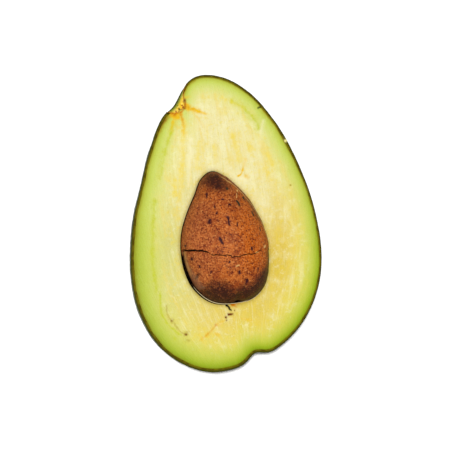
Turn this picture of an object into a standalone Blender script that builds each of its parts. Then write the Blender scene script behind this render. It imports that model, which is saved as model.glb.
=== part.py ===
"""Avocado half: one half of a fruit cut lengthways, with its seed still in its hollow.

The half lies on its rounded back with the cut facing up. +Y points to the stem end, +X to the right and
+Z out of the cut. Sizes are in millimetres and are turned into metres where a mesh is made. The origin
is under the middle of the half, on the surface it rests on.

A body here is a Form: an outline in the plane of the cut, read in polar form about a pole, and a depth
below that pole. A place on a Form is a heading (degrees anticlockwise from +X, seen from above) and a
dip (0 at the cut, 90 at the lowest point, negative above the cut).
"""

import math

import bmesh
import bpy
from mathutils import Matrix, Vector

MM = 0.001  # metres in a millimetre

# ---- the fruit
POLE = (0.4, -8.0)  # X, Y of the lowest point, under the half's centre of mass
FRUIT_DEPTH = 34.5  # cut to the lowest point of the back, before it is pressed flat
FRUIT_SLIM = 0.25  # share of the depth lost towards the neck
NECK_HEADING = 97.0
FRUIT_OUTLINE = (  # heading, radius
    (0, 35.3),
    (20, 35.4),
    (40, 38.3),
    (55, 43.0),
    (70, 50.4),
    (82, 57.8),
    (92, 62.6),
    (101, 63.6),
    (110, 59.6),
    (120, 51.4),
    (130, 45.2),
    (145, 39.3),
    (160, 36.8),
    (180, 36.2),
    (200, 38.5),
    (220, 42.6),
    (240, 46.9),
    (260, 48.3),
    (275, 46.2),
    (290, 43.8),
    (310, 41.1),
    (335, 37.7),
)
STEM_DENT = (110.4, 3.9, 5.2, 8.0)  # heading, depth, half width in degrees, reach below the cut
BLOSSOM_DENT = (283.5, 2.9, 5.5, 9.0)
PEEL_THICK = 1.0
FLAT_RINGS = 1  # rings of the mesh about the pole that lie flat on the surface below
FRUIT_AROUND = 96
FRUIT_RINGS = 20  # pole to pole, so half of them are below the cut

# ---- the seed
SEED_DEPTH = 16.2
SEED_SLIM = 0.2
SEED_HEADING = 102.0  # of its narrow end
SEED_OUTLINE = (
    (0, 15.1),
    (20, 14.7),
    (45, 15.7),
    (65, 18.4),
    (80, 21.4),
    (92, 24.8),
    (102, 27.3),
    (112, 25.9),
    (125, 21.6),
    (145, 18.7),
    (170, 17.6),
    (195, 17.8),
    (215, 19.0),
    (235, 21.0),
    (255, 22.6),
    (275, 22.4),
    (295, 22.3),
    (310, 20.9),
    (330, 17.5),
    (345, 15.8),
)
SEED_AROUND = 64
SEED_RINGS = 20
HOLLOW_SPREAD = 0.6  # extra room beside the seed at the lower left, where it has worked loose
HOLLOW_SPREAD_HEADING = 218.0
HOLLOW_SPREAD_WIDTH = 24.0  # degrees
CRACK_PATH = (  # X, Y of the knife cut across the seed, from its open end at the left
    (-17.4, -10.8),
    (-14.2, -11.7),
    (-9.1, -12.9),
    (-7.9, -13.6),
    (-1.4, -14.1),
    (1.9, -14.5),
    (3.4, -13.5),
    (8.1, -12.7),
    (10.9, -11.0),
)
CRACK_WIDTH = 0.6  # at the open end
CRACK_DEPTH = 3.2
CRACK_END = 0.4  # share of the width and depth left at the closed end

# ---- the stem button
BUTTON_SPOT = (-18.7, 44.9)  # X, Y of its middle, on the outline of the cut
BUTTON_HEADING = 133.0  # straight out of the fruit there
BUTTON_HALF_LONG = 5.5
BUTTON_HALF_DEEP = 4.2
BUTTON_HALF_TALL = 4.8
BUTTON_AROUND = 32
BUTTON_RINGS = 16

GAP = 0.3  # between pieces that touch
SLOPE_STEP = 0.01  # degrees, the step that a slope is measured over
POLE_DIP = 89.9  # degrees, past which a point counts as the pole itself
TINY = 0.001  # a height that counts as level with the cut
WELD = 0.01  # points nearer than this are one point
SHARP = 40.0  # degrees, the least angle that shades as an edge


def turn(heading, middle):
    """The signed angle from one heading to another, within half a turn."""
    return (heading - middle + 180.0) % 360.0 - 180.0


def bump(heading, middle, width):
    """A smooth hill, 1 high at its middle, that fades out over a few widths."""
    return math.exp(-((turn(heading, middle) / width) ** 2))


def radius_at(outline, heading):
    """The radius at a heading, on the smooth closed curve through an outline's points."""
    heading = heading % 360.0
    count = len(outline)
    at = max(index for index in range(count) if outline[index][0] <= heading)
    before, start, end, after = (outline[(at + step) % count] for step in (-1, 0, 1, 2))
    span = (end[0] - start[0]) % 360.0
    slope_start = (end[1] - before[1]) / ((end[0] - before[0]) % 360.0)
    slope_end = (after[1] - start[1]) / ((after[0] - start[0]) % 360.0)
    t = (heading - start[0]) / span
    return (
        start[1] * (1.0 + 2.0 * t) * (1.0 - t) ** 2
        + slope_start * span * t * (1.0 - t) ** 2
        + end[1] * t * t * (3.0 - 2.0 * t)
        + slope_end * span * t * t * (t - 1.0)
    )


class Form:
    """A rounded body, the same above and below the plane of the cut."""

    def __init__(self, outline, depth, slim, slim_heading, dents=()):
        self.outline = outline
        self.depth = depth
        self.slim = slim
        self.slim_heading = slim_heading
        self.dents = dents

    def share(self, heading, reach):
        """The part of the depth left at a heading, where reach is 1 at the outline and 0 at the pole."""
        neck = (0.5 + 0.5 * math.cos(math.radians(turn(heading, self.slim_heading)))) ** 2
        return 1.0 - self.slim * neck * reach * reach

    def skin(self, heading, dip):
        """The point of the surface at a heading and a dip."""
        reach = math.cos(math.radians(dip))
        fall = self.depth * math.sin(math.radians(dip)) * self.share(heading, reach)
        radius = radius_at(self.outline, heading)
        for middle, deep, width, tall in self.dents:
            radius -= deep * bump(heading, middle, width) * math.exp(-((fall / tall) ** 2))
        way = math.radians(heading)
        return Vector(
            (POLE[0] + radius * reach * math.cos(way), POLE[1] + radius * reach * math.sin(way), -fall)
        )

    def outward(self, heading, dip):
        """The direction straight out of the surface."""
        if abs(dip) > POLE_DIP:
            return Vector((0.0, 0.0, -math.copysign(1.0, dip)))
        along = self.skin(heading + SLOPE_STEP, dip) - self.skin(heading - SLOPE_STEP, dip)
        down = self.skin(heading, dip + SLOPE_STEP) - self.skin(heading, dip - SLOPE_STEP)
        return down.cross(along).normalized()

    def offset(self, heading, dip, out):
        """The point a distance out of the surface, or into it where the distance is negative."""
        return self.skin(heading, dip) + self.outward(heading, dip) * out

    def height(self, x, y):
        """How far the surface stands above the cut over a point inside the outline."""
        east, north = x - POLE[0], y - POLE[1]
        heading = math.degrees(math.atan2(north, east))
        reach = min(1.0, math.hypot(east, north) / radius_at(self.outline, heading))
        return self.depth * math.sqrt(1.0 - reach * reach) * self.share(heading, reach)


FRUIT = Form(FRUIT_OUTLINE, FRUIT_DEPTH, FRUIT_SLIM, NECK_HEADING, (STEM_DENT, BLOSSOM_DENT))
SEED = Form(SEED_OUTLINE, SEED_DEPTH, SEED_SLIM, SEED_HEADING)


def flat_depth():
    """How far the flat that the half rests on lies below the cut: as far as all of its outline does."""
    dip = 90.0 - FLAT_RINGS * 180.0 / FRUIT_RINGS
    step = 360.0 / FRUIT_AROUND
    return min(-FRUIT.skin(index * step, dip).z for index in range(FRUIT_AROUND))


def hollow_room(heading):
    """The distance between the seed and the wall of its hollow."""
    return GAP + HOLLOW_SPREAD * bump(heading, HOLLOW_SPREAD_HEADING, HOLLOW_SPREAD_WIDTH)


def add_ball(mesh, around, rings, place):
    """Add a UV sphere to a bmesh and move each of its vertices to where place puts its heading and dip."""
    made = bmesh.ops.create_uvsphere(mesh, u_segments=around, v_segments=rings, radius=1.0)
    for vertex in made["verts"]:
        heading = math.degrees(math.atan2(vertex.co.y, vertex.co.x))
        dip = math.degrees(math.asin(max(-1.0, min(1.0, -vertex.co.z))))
        vertex.co = place(heading, dip) * MM
    return made["verts"]


def add_half_ball(mesh, around, rings, place):
    """As add_ball, but with the half above the cut taken away."""
    verts = add_ball(mesh, around, rings, place)
    above = [vertex for vertex in verts if vertex.co.z > TINY * MM]
    bmesh.ops.delete(mesh, geom=above, context="VERTS")


def hollow_place(heading, dip):
    """A placing function for the wall of the seed's hollow."""
    room = GAP if abs(dip) > POLE_DIP else hollow_room(heading)
    return SEED.offset(heading, dip, room)


def rim_edges(mesh):
    """The open edges of a bmesh."""
    return [edge for edge in mesh.edges if edge.is_boundary]


def fruit_place(out):
    """A placing function for the fruit's surface moved out by a distance, and flat where the half rests."""
    lowest = -flat_depth() - out

    def place(heading, dip):
        point = FRUIT.offset(heading, dip, out)
        point.z = max(point.z, lowest)
        return point

    return place


def new_object(name, mesh, collection, material=None):
    """Make an object of a bmesh, smooth where it is round, and put it in a collection."""
    data = bpy.data.meshes.new(name)
    mesh.to_mesh(data)
    mesh.free()
    data.shade_smooth()
    data.set_sharp_from_angle(angle=math.radians(SHARP))
    piece = bpy.data.objects.new(name, data)
    collection.objects.link(piece)
    if material is not None:
        data.materials.append(material)
    return piece


def hide_cutter(piece):
    """Mark an object as a cutter, which isn't part of the fruit."""
    piece.hide_render = True
    piece.display_type = "WIRE"


def add_boolean(piece, other, operation):
    """Cut a piece with another, or keep only what lies in both."""
    modifier = piece.modifiers.new(operation.lower(), "BOOLEAN")
    modifier.operation = operation
    modifier.object = other
    modifier.solver = "EXACT"


def finish(name, colour, roughness):
    """A plain finish: the colour is linear red, green and blue."""
    material = bpy.data.materials.new(name)
    material.use_nodes = True
    shader = material.node_tree.nodes["Principled BSDF"]
    shader.inputs["Base Color"].default_value = (*colour, 1.0)
    shader.inputs["Roughness"].default_value = roughness
    shader.inputs["Metallic"].default_value = 0.0
    material.diffuse_color = (*colour, 1.0)
    return material


def button_matrix(room):
    """The place and size of the stem button, grown by some room, as a matrix for a ball of radius 1."""
    size = (BUTTON_HALF_DEEP + room, BUTTON_HALF_LONG + room, BUTTON_HALF_TALL + room)
    return (
        Matrix.Translation(Vector((*BUTTON_SPOT, 0.0)) * MM)
        @ Matrix.Rotation(math.radians(BUTTON_HEADING), 4, "Z")
        @ Matrix.Diagonal((*(side * MM for side in size), 1.0))
    )


def button_ball(room):
    """A bmesh of the stem button's ball, grown by some room."""
    mesh = bmesh.new()
    bmesh.ops.create_uvsphere(
        mesh, u_segments=BUTTON_AROUND, v_segments=BUTTON_RINGS, radius=1.0, matrix=button_matrix(room)
    )
    return mesh


def make_peel(parts, button_room):
    """The skin: the fruit's surface and the same surface one thickness inside it, joined round the cut."""
    mesh = bmesh.new()
    add_half_ball(mesh, FRUIT_AROUND, FRUIT_RINGS, fruit_place(0.0))
    outside = set(mesh.faces)
    add_half_ball(mesh, FRUIT_AROUND, FRUIT_RINGS, fruit_place(-PEEL_THICK))
    inside = [face for face in mesh.faces if face not in outside]
    bmesh.ops.reverse_faces(mesh, faces=inside)
    bmesh.ops.bridge_loops(mesh, edges=rim_edges(mesh))
    bmesh.ops.recalc_face_normals(mesh, faces=mesh.faces)
    peel = new_object("peel", mesh, parts, finish("peel_skin", (0.045, 0.05, 0.012), 0.45))
    add_boolean(peel, button_room, "DIFFERENCE")
    return peel


def make_flesh(parts, hollow, button_room):
    """The flesh: the fruit inside the peel, flat at the cut, without the seed's hollow."""
    mesh = bmesh.new()
    add_half_ball(mesh, FRUIT_AROUND, FRUIT_RINGS, fruit_place(-PEEL_THICK - GAP))
    bmesh.ops.edgeloop_fill(mesh, edges=rim_edges(mesh))
    bmesh.ops.recalc_face_normals(mesh, faces=mesh.faces)
    flesh = new_object("flesh", mesh, parts, finish("flesh_cut", (0.8, 0.72, 0.25), 0.45))
    add_boolean(flesh, hollow, "DIFFERENCE")
    add_boolean(flesh, button_room, "DIFFERENCE")
    return flesh


def make_hollow(cutters):
    """The cutter of the seed's hollow: the seed with room all round it."""
    mesh = bmesh.new()
    add_ball(mesh, SEED_AROUND, SEED_RINGS, hollow_place)
    hollow = new_object("hollow_cutter", mesh, cutters)
    hide_cutter(hollow)
    return hollow


def make_crack(cutters):
    """The cutter of the knife cut: a thin blade shape that follows the top of the seed."""
    curve = bpy.data.curves.new("crack_route", "CURVE")
    curve.dimensions = "3D"
    curve.twist_mode = "Z_UP"
    curve.extrude = CRACK_DEPTH * MM
    curve.bevel_depth = CRACK_WIDTH / 2.0 * MM
    curve.bevel_resolution = 0
    curve.use_fill_caps = True
    spline = curve.splines.new("POLY")
    spline.points.add(len(CRACK_PATH) - 1)
    for index, (x, y) in enumerate(CRACK_PATH):
        spline.points[index].co = (x * MM, y * MM, SEED.height(x, y) * MM, 1.0)
        spline.points[index].radius = 1.0 - (1.0 - CRACK_END) * index / (len(CRACK_PATH) - 1)
    route = bpy.data.objects.new("crack_route", curve)
    cutters.objects.link(route)
    bpy.context.view_layer.update()
    data = bpy.data.meshes.new_from_object(route.evaluated_get(bpy.context.evaluated_depsgraph_get()))
    mesh = bmesh.new()
    mesh.from_mesh(data)
    bmesh.ops.remove_doubles(mesh, verts=mesh.verts, dist=WELD * MM)
    bmesh.ops.recalc_face_normals(mesh, faces=mesh.faces)
    crack = new_object("crack_cutter", mesh, cutters)
    hide_cutter(crack)
    bpy.data.objects.remove(route)
    bpy.data.meshes.remove(data)
    return crack


def make_seed(parts, crack):
    """The seed: one egg-shaped piece with the knife cut across its top."""
    mesh = bmesh.new()
    add_ball(mesh, SEED_AROUND, SEED_RINGS, SEED.skin)
    seed = new_object("seed", mesh, parts, finish("seed_coat", (0.42, 0.11, 0.025), 0.6))
    add_boolean(seed, crack, "DIFFERENCE")
    return seed


def make_button_room(cutters):
    """The cutter of the place that the stem button sits in."""
    room = new_object("button_room_cutter", button_ball(GAP), cutters)
    hide_cutter(room)
    return room


def make_button_stock(cutters):
    """The half fruit as one solid, which the stem button is the outer end of."""
    mesh = bmesh.new()
    add_half_ball(mesh, FRUIT_AROUND, FRUIT_RINGS, fruit_place(0.0))
    bmesh.ops.edgeloop_fill(mesh, edges=rim_edges(mesh))
    bmesh.ops.recalc_face_normals(mesh, faces=mesh.faces)
    stock = new_object("button_stock", mesh, cutters)
    hide_cutter(stock)
    return stock


def make_button(parts, stock):
    """The stem button: the part of a small ball that lies inside the half fruit."""
    button = new_object(
        "stem_button", button_ball(0.0), parts, finish("stem_wood", (0.75, 0.48, 0.05), 0.6)
    )
    add_boolean(button, stock, "INTERSECT")
    return button


def middle_of_outline():
    """The middle of the box round the fruit's outline, as X and Y."""
    step = 360.0 / FRUIT_AROUND
    points = [FRUIT.skin(index * step, 0.0) for index in range(FRUIT_AROUND)]
    sides = [(min(point[axis] for point in points), max(point[axis] for point in points)) for axis in (0, 1)]
    return tuple((low + high) / 2.0 for low, high in sides)


def main():
    """Build the half and stand it on its flat, with the origin under its middle."""
    for leftover in list(bpy.data.objects):
        bpy.data.objects.remove(leftover)
    parts = bpy.data.collections.new("avocado_half")
    cutters = bpy.data.collections.new("avocado_half_cutters")
    for collection in (parts, cutters):
        bpy.context.scene.collection.children.link(collection)

    hollow = make_hollow(cutters)
    crack = make_crack(cutters)
    button_room = make_button_room(cutters)
    stock = make_button_stock(cutters)
    pieces = [
        make_peel(parts, button_room),
        make_flesh(parts, hollow, button_room),
        make_seed(parts, crack),
        make_button(parts, stock),
    ]

    middle = middle_of_outline()
    resting_place = bpy.data.objects.new("resting_place", None)
    resting_place.location = (-middle[0] * MM, -middle[1] * MM, flat_depth() * MM)
    parts.objects.link(resting_place)
    for piece in (*pieces, hollow, crack, button_room, stock):
        piece.parent = resting_place
    bpy.context.view_layer.update()


main()
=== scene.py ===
"""The looks of an avocado half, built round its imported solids.

The half lies on its round back with the cut facing up. +Y points to the stem end and +X to the right.
Lengths are in millimetres in the half's own frame and become metres where a mesh is made. A place on the
fruit is a heading (degrees anticlockwise from +X, seen from above) and a dip (0 at the cut, 90 at the
lowest point, negative above the cut), both about a pole under the middle of the half.
"""

import logging
import math
from dataclasses import dataclass
from enum import Enum

import bpy
import numpy as np
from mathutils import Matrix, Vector


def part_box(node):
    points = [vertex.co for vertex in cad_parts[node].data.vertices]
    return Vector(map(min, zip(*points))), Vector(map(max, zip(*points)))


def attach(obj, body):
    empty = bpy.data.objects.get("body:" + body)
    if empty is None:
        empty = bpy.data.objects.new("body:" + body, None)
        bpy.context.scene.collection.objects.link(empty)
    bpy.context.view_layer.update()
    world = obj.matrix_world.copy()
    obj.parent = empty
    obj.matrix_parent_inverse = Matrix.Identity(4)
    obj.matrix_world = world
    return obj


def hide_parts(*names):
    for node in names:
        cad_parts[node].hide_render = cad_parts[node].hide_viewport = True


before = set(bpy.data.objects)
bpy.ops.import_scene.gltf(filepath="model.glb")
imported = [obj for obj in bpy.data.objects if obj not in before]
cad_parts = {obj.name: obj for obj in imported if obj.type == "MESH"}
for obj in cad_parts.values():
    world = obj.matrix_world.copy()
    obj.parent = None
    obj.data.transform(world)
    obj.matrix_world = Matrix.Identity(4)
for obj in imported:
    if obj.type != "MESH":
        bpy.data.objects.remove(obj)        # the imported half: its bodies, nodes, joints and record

MM = 0.001  # metres in a millimetre
BODY = "root"  # the half has no joints, so every piece rides on its one body
COLUMNS = 900  # points in each hoop of the peel and of the flesh
RING = 40.0  # radius of the circle on which a field is read once round without a seam
Array = np.ndarray
Knots = tuple[tuple[float, float], ...]
Socket = bpy.types.NodeSocket
Colour = tuple[float, float, float, float]
Stops = tuple[tuple[float, Colour], ...]

log = logging.getLogger("avocado_half")


# ---------------------------------------------------------------- curves and fields


def turn(heading: Array, middle: float) -> Array:
    """The signed angle from a middle heading, within half a turn."""
    return (heading - middle + 180.0) % 360.0 - 180.0


def flat(x: Array, y: Array) -> Array:
    """Places at height 0, with X, Y and Z last."""
    return np.stack([x, y, np.zeros_like(x)], axis=-1)


def on_circle(heading: Array, radius: Array | float) -> Array:
    """Places at height 0 at headings and radii about the pole."""
    way = np.radians(heading)
    return flat(radius * np.cos(way), radius * np.sin(way))


def read_round(points: Array, heading: Array) -> Array:
    """The radius at each heading of a closed line of points about the pole."""
    way = np.degrees(np.arctan2(points[:, 1], points[:, 0])) % 360.0
    order = np.argsort(way)
    far = np.hypot(points[:, 0], points[:, 1])
    return np.interp(heading % 360.0, way[order], far[order], period=360.0)


def hill(distance: Array, width: float) -> Array:
    """A smooth hill, 1 high in the middle, that fades out over a few widths."""
    return np.exp(-((distance / width) ** 2))


def ease(value: Array, low: float, high: float) -> Array:
    """A smooth step from 0 at low to 1 at high."""
    share = np.clip((value - low) / (high - low), 0.0, 1.0)
    return share * share * (3.0 - 2.0 * share)


def round_curve(knots: Knots, heading: Array) -> Array:
    """Read a smooth closed curve.

    Args:
        knots: (heading, value) pairs that the curve passes through, from heading 0.
        heading: The headings to read it at, in degrees.

    Returns:
        The value at each heading.
    """
    table = np.array(knots, dtype=float)
    count = len(table)
    at = np.searchsorted(table[:, 0], heading % 360.0, side="right") - 1
    before, start, end, after = (table[(at + step) % count] for step in (-1, 0, 1, 2))
    span = (end[..., 0] - start[..., 0]) % 360.0
    slope_start = (end[..., 1] - before[..., 1]) / ((end[..., 0] - before[..., 0]) % 360.0)
    slope_end = (after[..., 1] - start[..., 1]) / ((after[..., 0] - start[..., 0]) % 360.0)
    t = ((heading - start[..., 0]) % 360.0) / span
    return (
        start[..., 1] * (1.0 + 2.0 * t) * (1.0 - t) ** 2
        + slope_start * span * t * (1.0 - t) ** 2
        + end[..., 1] * t * t * (3.0 - 2.0 * t)
        + slope_end * span * t * t * (t - 1.0)
    )


class Field:
    """Random values on a lattice in space, the same each time for the same seed."""

    TABLE = 4096  # lattice values before they repeat
    PRIMES = (73856093, 19349663, 83492791)

    def __init__(self, seed: int, size: float | tuple[float, float, float]) -> None:
        """Draw the lattice's values.

        Args:
            seed: Which random field this is.
            size: The lattice's spacing in millimetres, the same each way or one for X, Y and Z.
        """
        self.size = np.array(size, dtype=float)
        self.values = np.random.default_rng(seed).random((self.TABLE, 3))

    def drawn(self, cell: Array) -> Array:
        """The three random numbers, 0 to 1, of each lattice cell."""
        mixed = np.bitwise_xor.reduce(cell.astype(np.int64) * np.array(self.PRIMES), axis=-1)
        return self.values[mixed & (self.TABLE - 1)]

    def hills(self, points: Array, octaves: int = 1) -> Array:
        """Smooth hills and hollows.

        Args:
            points: Places in millimetres, with X, Y and Z last.
            octaves: How many layers, each twice as fine and half as high as the one before.

        Returns:
            Heights from about -1 to 1.
        """
        total = np.zeros(points.shape[:-1])
        for octave in range(octaves):
            scaled = points / self.size * 2.0**octave + 17.3 * octave
            base = np.floor(scaled)
            inside = scaled - base
            share = inside * inside * (3.0 - 2.0 * inside)
            for corner in np.ndindex(2, 2, 2):
                offset = np.array(corner)
                weight = np.prod(np.where(offset, share, 1.0 - share), axis=-1)
                total += weight * (self.drawn(base + offset)[..., 0] * 2.0 - 1.0) / 2.0**octave
        return total

    def nearest(self, points: Array) -> Array:
        """The distance to the nearest of scattered centres, one to a cell, in cell sizes."""
        scaled = points / self.size
        base = np.floor(scaled)
        best = np.full(points.shape[:-1], 9.0)
        for corner in np.ndindex(3, 3, 3):
            cell = base + np.array(corner) - 1.0
            best = np.minimum(best, np.linalg.norm(cell + self.drawn(cell) - scaled, axis=-1))
        return best


def smooth_path(points: Knots, steps: int = 6) -> Array:
    """A smooth open curve through points, as more points.

    Args:
        points: The X, Y places that it passes through.
        steps: How many stretches each span is cut into.

    Returns:
        The curve's points, one a row.
    """
    table = np.array(points, dtype=float)
    padded = np.vstack([2 * table[0] - table[1], table, 2 * table[-1] - table[-2]])
    share = np.linspace(0.0, 1.0, steps, endpoint=False)[:, None]
    spans = [
        0.5
        * (
            2 * b
            + (c - a) * share
            + (2 * a - 5 * b + 4 * c - d) * share**2
            + (3 * b - a - 3 * c + d) * share**3
        )
        for a, b, c, d in zip(padded, padded[1:], padded[2:], padded[3:])
    ]
    return np.vstack([*spans, table[-1:]])


def along_path(x: Array, y: Array, path: Array) -> tuple[Array, Array]:
    """How far places lie from a path, and where along it.

    Args:
        x: The places' X.
        y: The places' Y.
        path: The path's points, one a row.

    Returns:
        The distance to the path, and the share of its length, 0 to 1, at the nearest point.
    """
    best = np.full(x.shape, 1e9)
    where = np.zeros(x.shape)
    lengths = np.linalg.norm(np.diff(path, axis=0), axis=1)
    total = max(lengths.sum(), 1e-9)
    for index, (start, end) in enumerate(zip(path, path[1:])):
        run = end - start
        share = ((x - start[0]) * run[0] + (y - start[1]) * run[1]) / max(run @ run, 1e-12)
        share = np.clip(share, 0.0, 1.0)
        distance = np.hypot(x - start[0] - run[0] * share, y - start[1] - run[1] * share)
        closer = distance < best
        best = np.where(closer, distance, best)
        where = np.where(closer, (lengths[:index].sum() + lengths[index] * share) / total, where)
    return best, where


# ---------------------------------------------------------------- the two rounded forms


@dataclass(frozen=True)
class Dent:
    """A dent in an outline that fades out below the cut."""

    heading: float
    depth: float
    width: float  # degrees
    reach: float  # below the cut


@dataclass(frozen=True)
class Form:
    """A rounded body, the same above and below the plane of the cut."""

    outline: Knots
    depth: float
    slim: float  # share of the depth lost towards the narrow end
    slim_heading: float
    dents: tuple[Dent, ...] = ()

    def radius(self, heading: Array) -> Array:
        """The outline's distance from the pole, without its dents."""
        return round_curve(self.outline, heading)

    def share(self, heading: Array, reach: Array) -> Array:
        """The part of the depth left at a heading, where reach is 1 at the outline and 0 at the pole."""
        neck = (0.5 + 0.5 * np.cos(np.radians(turn(heading, self.slim_heading)))) ** 2
        return 1.0 - self.slim * neck * reach * reach

    def skin(self, heading: Array, dip: Array) -> Array:
        """Points of the surface.

        Args:
            heading: Their headings.
            dip: Their dips, of a shape that goes with the headings.

        Returns:
            The points about the pole, with X, Y and Z last.
        """
        heading, dip = np.broadcast_arrays(np.asarray(heading, float), np.asarray(dip, float))
        reach = np.cos(np.radians(dip))
        fall = self.depth * np.sin(np.radians(dip)) * self.share(heading, reach)
        radius = self.radius(heading)
        for dent in self.dents:
            near = hill(turn(heading, dent.heading), dent.width)
            radius = radius - dent.depth * near * np.exp(-((fall / dent.reach) ** 2))
        way = np.radians(heading)
        return np.stack([radius * reach * np.cos(way), radius * reach * np.sin(way), -fall], axis=-1)

    def outward(self, heading: Array, dip: Array) -> Array:
        """The directions straight out of the surface, for dips short of the poles."""
        step = 0.01
        along = self.skin(heading + step, dip) - self.skin(heading - step, dip)
        down = self.skin(heading, dip + step) - self.skin(heading, dip - step)
        out = np.cross(down, along)
        return out / np.linalg.norm(out, axis=-1, keepdims=True)

    def offset(self, heading: Array, dip: Array, out: Array) -> Array:
        """Points a distance out of the surface, or into it where the distance is negative."""
        return self.skin(heading, dip) + self.outward(heading, dip) * np.asarray(out)[..., None]

    def height(self, x: Array, y: Array) -> Array:
        """How far the surface stands above the cut over places about the pole."""
        heading = np.degrees(np.arctan2(y, x))
        reach = np.minimum(1.0, np.hypot(x, y) / self.radius(heading))
        return self.depth * np.sqrt(1.0 - reach * reach) * self.share(heading, reach)


FRUIT = Form(
    outline=(
        (0, 35.3), (20, 35.4), (40, 38.3), (55, 43.0), (70, 50.4), (82, 57.8), (92, 62.6),
        (101, 63.6), (110, 59.6), (120, 51.4), (130, 45.2), (145, 39.3), (160, 36.8), (180, 36.2),
        (200, 38.5), (220, 42.6), (240, 46.9), (260, 48.3), (275, 46.2), (290, 43.8), (310, 41.1),
        (335, 37.7),
    ),
    depth=34.5,
    slim=0.25,
    slim_heading=97.0,
    dents=(Dent(110.4, 3.9, 5.2, 8.0), Dent(283.5, 2.9, 5.5, 9.0)),
)
SEED = Form(
    outline=(
        (0, 15.1), (20, 14.7), (45, 15.7), (65, 18.4), (80, 21.4), (92, 24.8), (102, 27.3),
        (112, 25.9), (125, 21.6), (145, 18.7), (170, 17.6), (195, 17.8), (215, 19.0), (235, 21.0),
        (255, 22.6), (275, 22.4), (295, 22.3), (310, 20.9), (330, 17.5), (345, 15.8),
    ),
    depth=16.2,
    slim=0.2,
    slim_heading=102.0,
)


@dataclass(frozen=True)
class Layout:
    """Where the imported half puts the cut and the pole, and the lines that its pieces share."""

    pole: Array  # X, Y, Z of the pole in the plane of the cut
    columns: Array  # the headings of every hoop's points
    lowest: float  # Z of the surface that the half rests on, about the pole

    @classmethod
    def from_frame(cls, count: int) -> "Layout":
        """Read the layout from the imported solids.

        Args:
            count: How many points each hoop has.

        Returns:
            The layout.
        """
        low, high = (np.array(corner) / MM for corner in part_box("peel"))
        rim = FRUIT.skin(np.arange(0.0, 360.0, 0.25), 0.0)[:, :2]
        middle = (rim.min(axis=0) + rim.max(axis=0)) / 2.0
        centre = (low + high)[:2] / 2.0
        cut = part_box("flesh")[1][2] / MM
        steps = np.linspace(0.0, 360.0, 3601)
        edge = FRUIT.skin(steps, 0.0)
        run = np.concatenate([[0.0], np.cumsum(np.linalg.norm(np.diff(edge, axis=0), axis=1))])
        even = np.interp(np.arange(count) * run[-1] / count, run, steps)
        return cls(np.array([*(centre - middle), cut]), even, low[2] - cut)

    def put(self, points: Array) -> Array:
        """Points about the pole as points of the frame, in millimetres."""
        return points + self.pole

    def over(self, points: Array) -> tuple[Array, Array]:
        """The X and the Y in the frame, in millimetres, of points about the pole."""
        return points[..., 0] + self.pole[0], points[..., 1] + self.pole[1]


# ---------------------------------------------------------------- meshes


def finish_mesh(name: str, verts: Array, faces: list, values: dict[str, Array]) -> bpy.types.Object:
    """Make an object of points and faces.

    Args:
        name: The piece's name.
        verts: Its points in the frame, in millimetres.
        faces: Its faces, as tuples of point numbers.
        values: Per-point values for the finishes to read, by name.

    Returns:
        The object, shaded smooth, in the scene.
    """
    mesh = bpy.data.meshes.new(name)
    mesh.from_pydata((verts * MM).tolist(), [], faces)
    mesh.update()
    for label, value in values.items():
        layer = mesh.attributes.new(label, "FLOAT", "POINT")
        layer.data.foreach_set("value", np.asarray(value, dtype=np.float32))
    mesh.shade_smooth()
    piece = bpy.data.objects.new(name, mesh)
    bpy.context.scene.collection.objects.link(piece)
    return piece


def hoops(name: str, rows: Array, first: Array, last: Array, values: dict[str, Array]) -> bpy.types.Object:
    """Make a closed skin of hoops of points, with a point at each end.

    Args:
        name: The piece's name.
        rows: The hoops, as rows by columns by X, Y and Z, in the frame's millimetres.
        first: The point that closes the first hoop.
        last: The point that closes the last hoop.
        values: Per-point values, as rows by columns, by name.

    Returns:
        The object, with its faces pointing out.
    """
    count, around = rows.shape[:2]
    verts = np.vstack([rows.reshape(-1, 3), first, last])
    number = np.arange(count * around).reshape(count, around)
    beside = np.roll(number, -1, axis=1)
    quads = np.stack([number[:-1], beside[:-1], beside[1:], number[1:]], axis=-1).reshape(-1, 4)
    start = np.stack([beside[0], number[0], np.full(around, count * around)], axis=-1)
    end = np.stack([number[-1], beside[-1], np.full(around, count * around + 1)], axis=-1)
    corners = verts[quads[:, :3]]
    volume = np.einsum("ij,ij->", corners[:, 0], np.cross(corners[:, 1], corners[:, 2]))
    faces = [*quads.tolist(), *start.tolist(), *end.tolist()]
    if volume < 0.0:
        faces = [face[::-1] for face in faces]
    full = {
        label: np.concatenate([value.ravel(), [value[0].mean(), value[-1].mean()]])
        for label, value in values.items()
    }
    return finish_mesh(name, verts, faces, full)


# ---------------------------------------------------------------- finishes


def paint(red: int, green: int, blue: int) -> Colour:
    """A paint chart's red, green and blue, 0 to 255, as the linear colour that a shader takes."""
    return (*(((part / 255.0 + 0.055) / 1.055) ** 2.4 for part in (red, green, blue)), 1.0)


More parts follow.
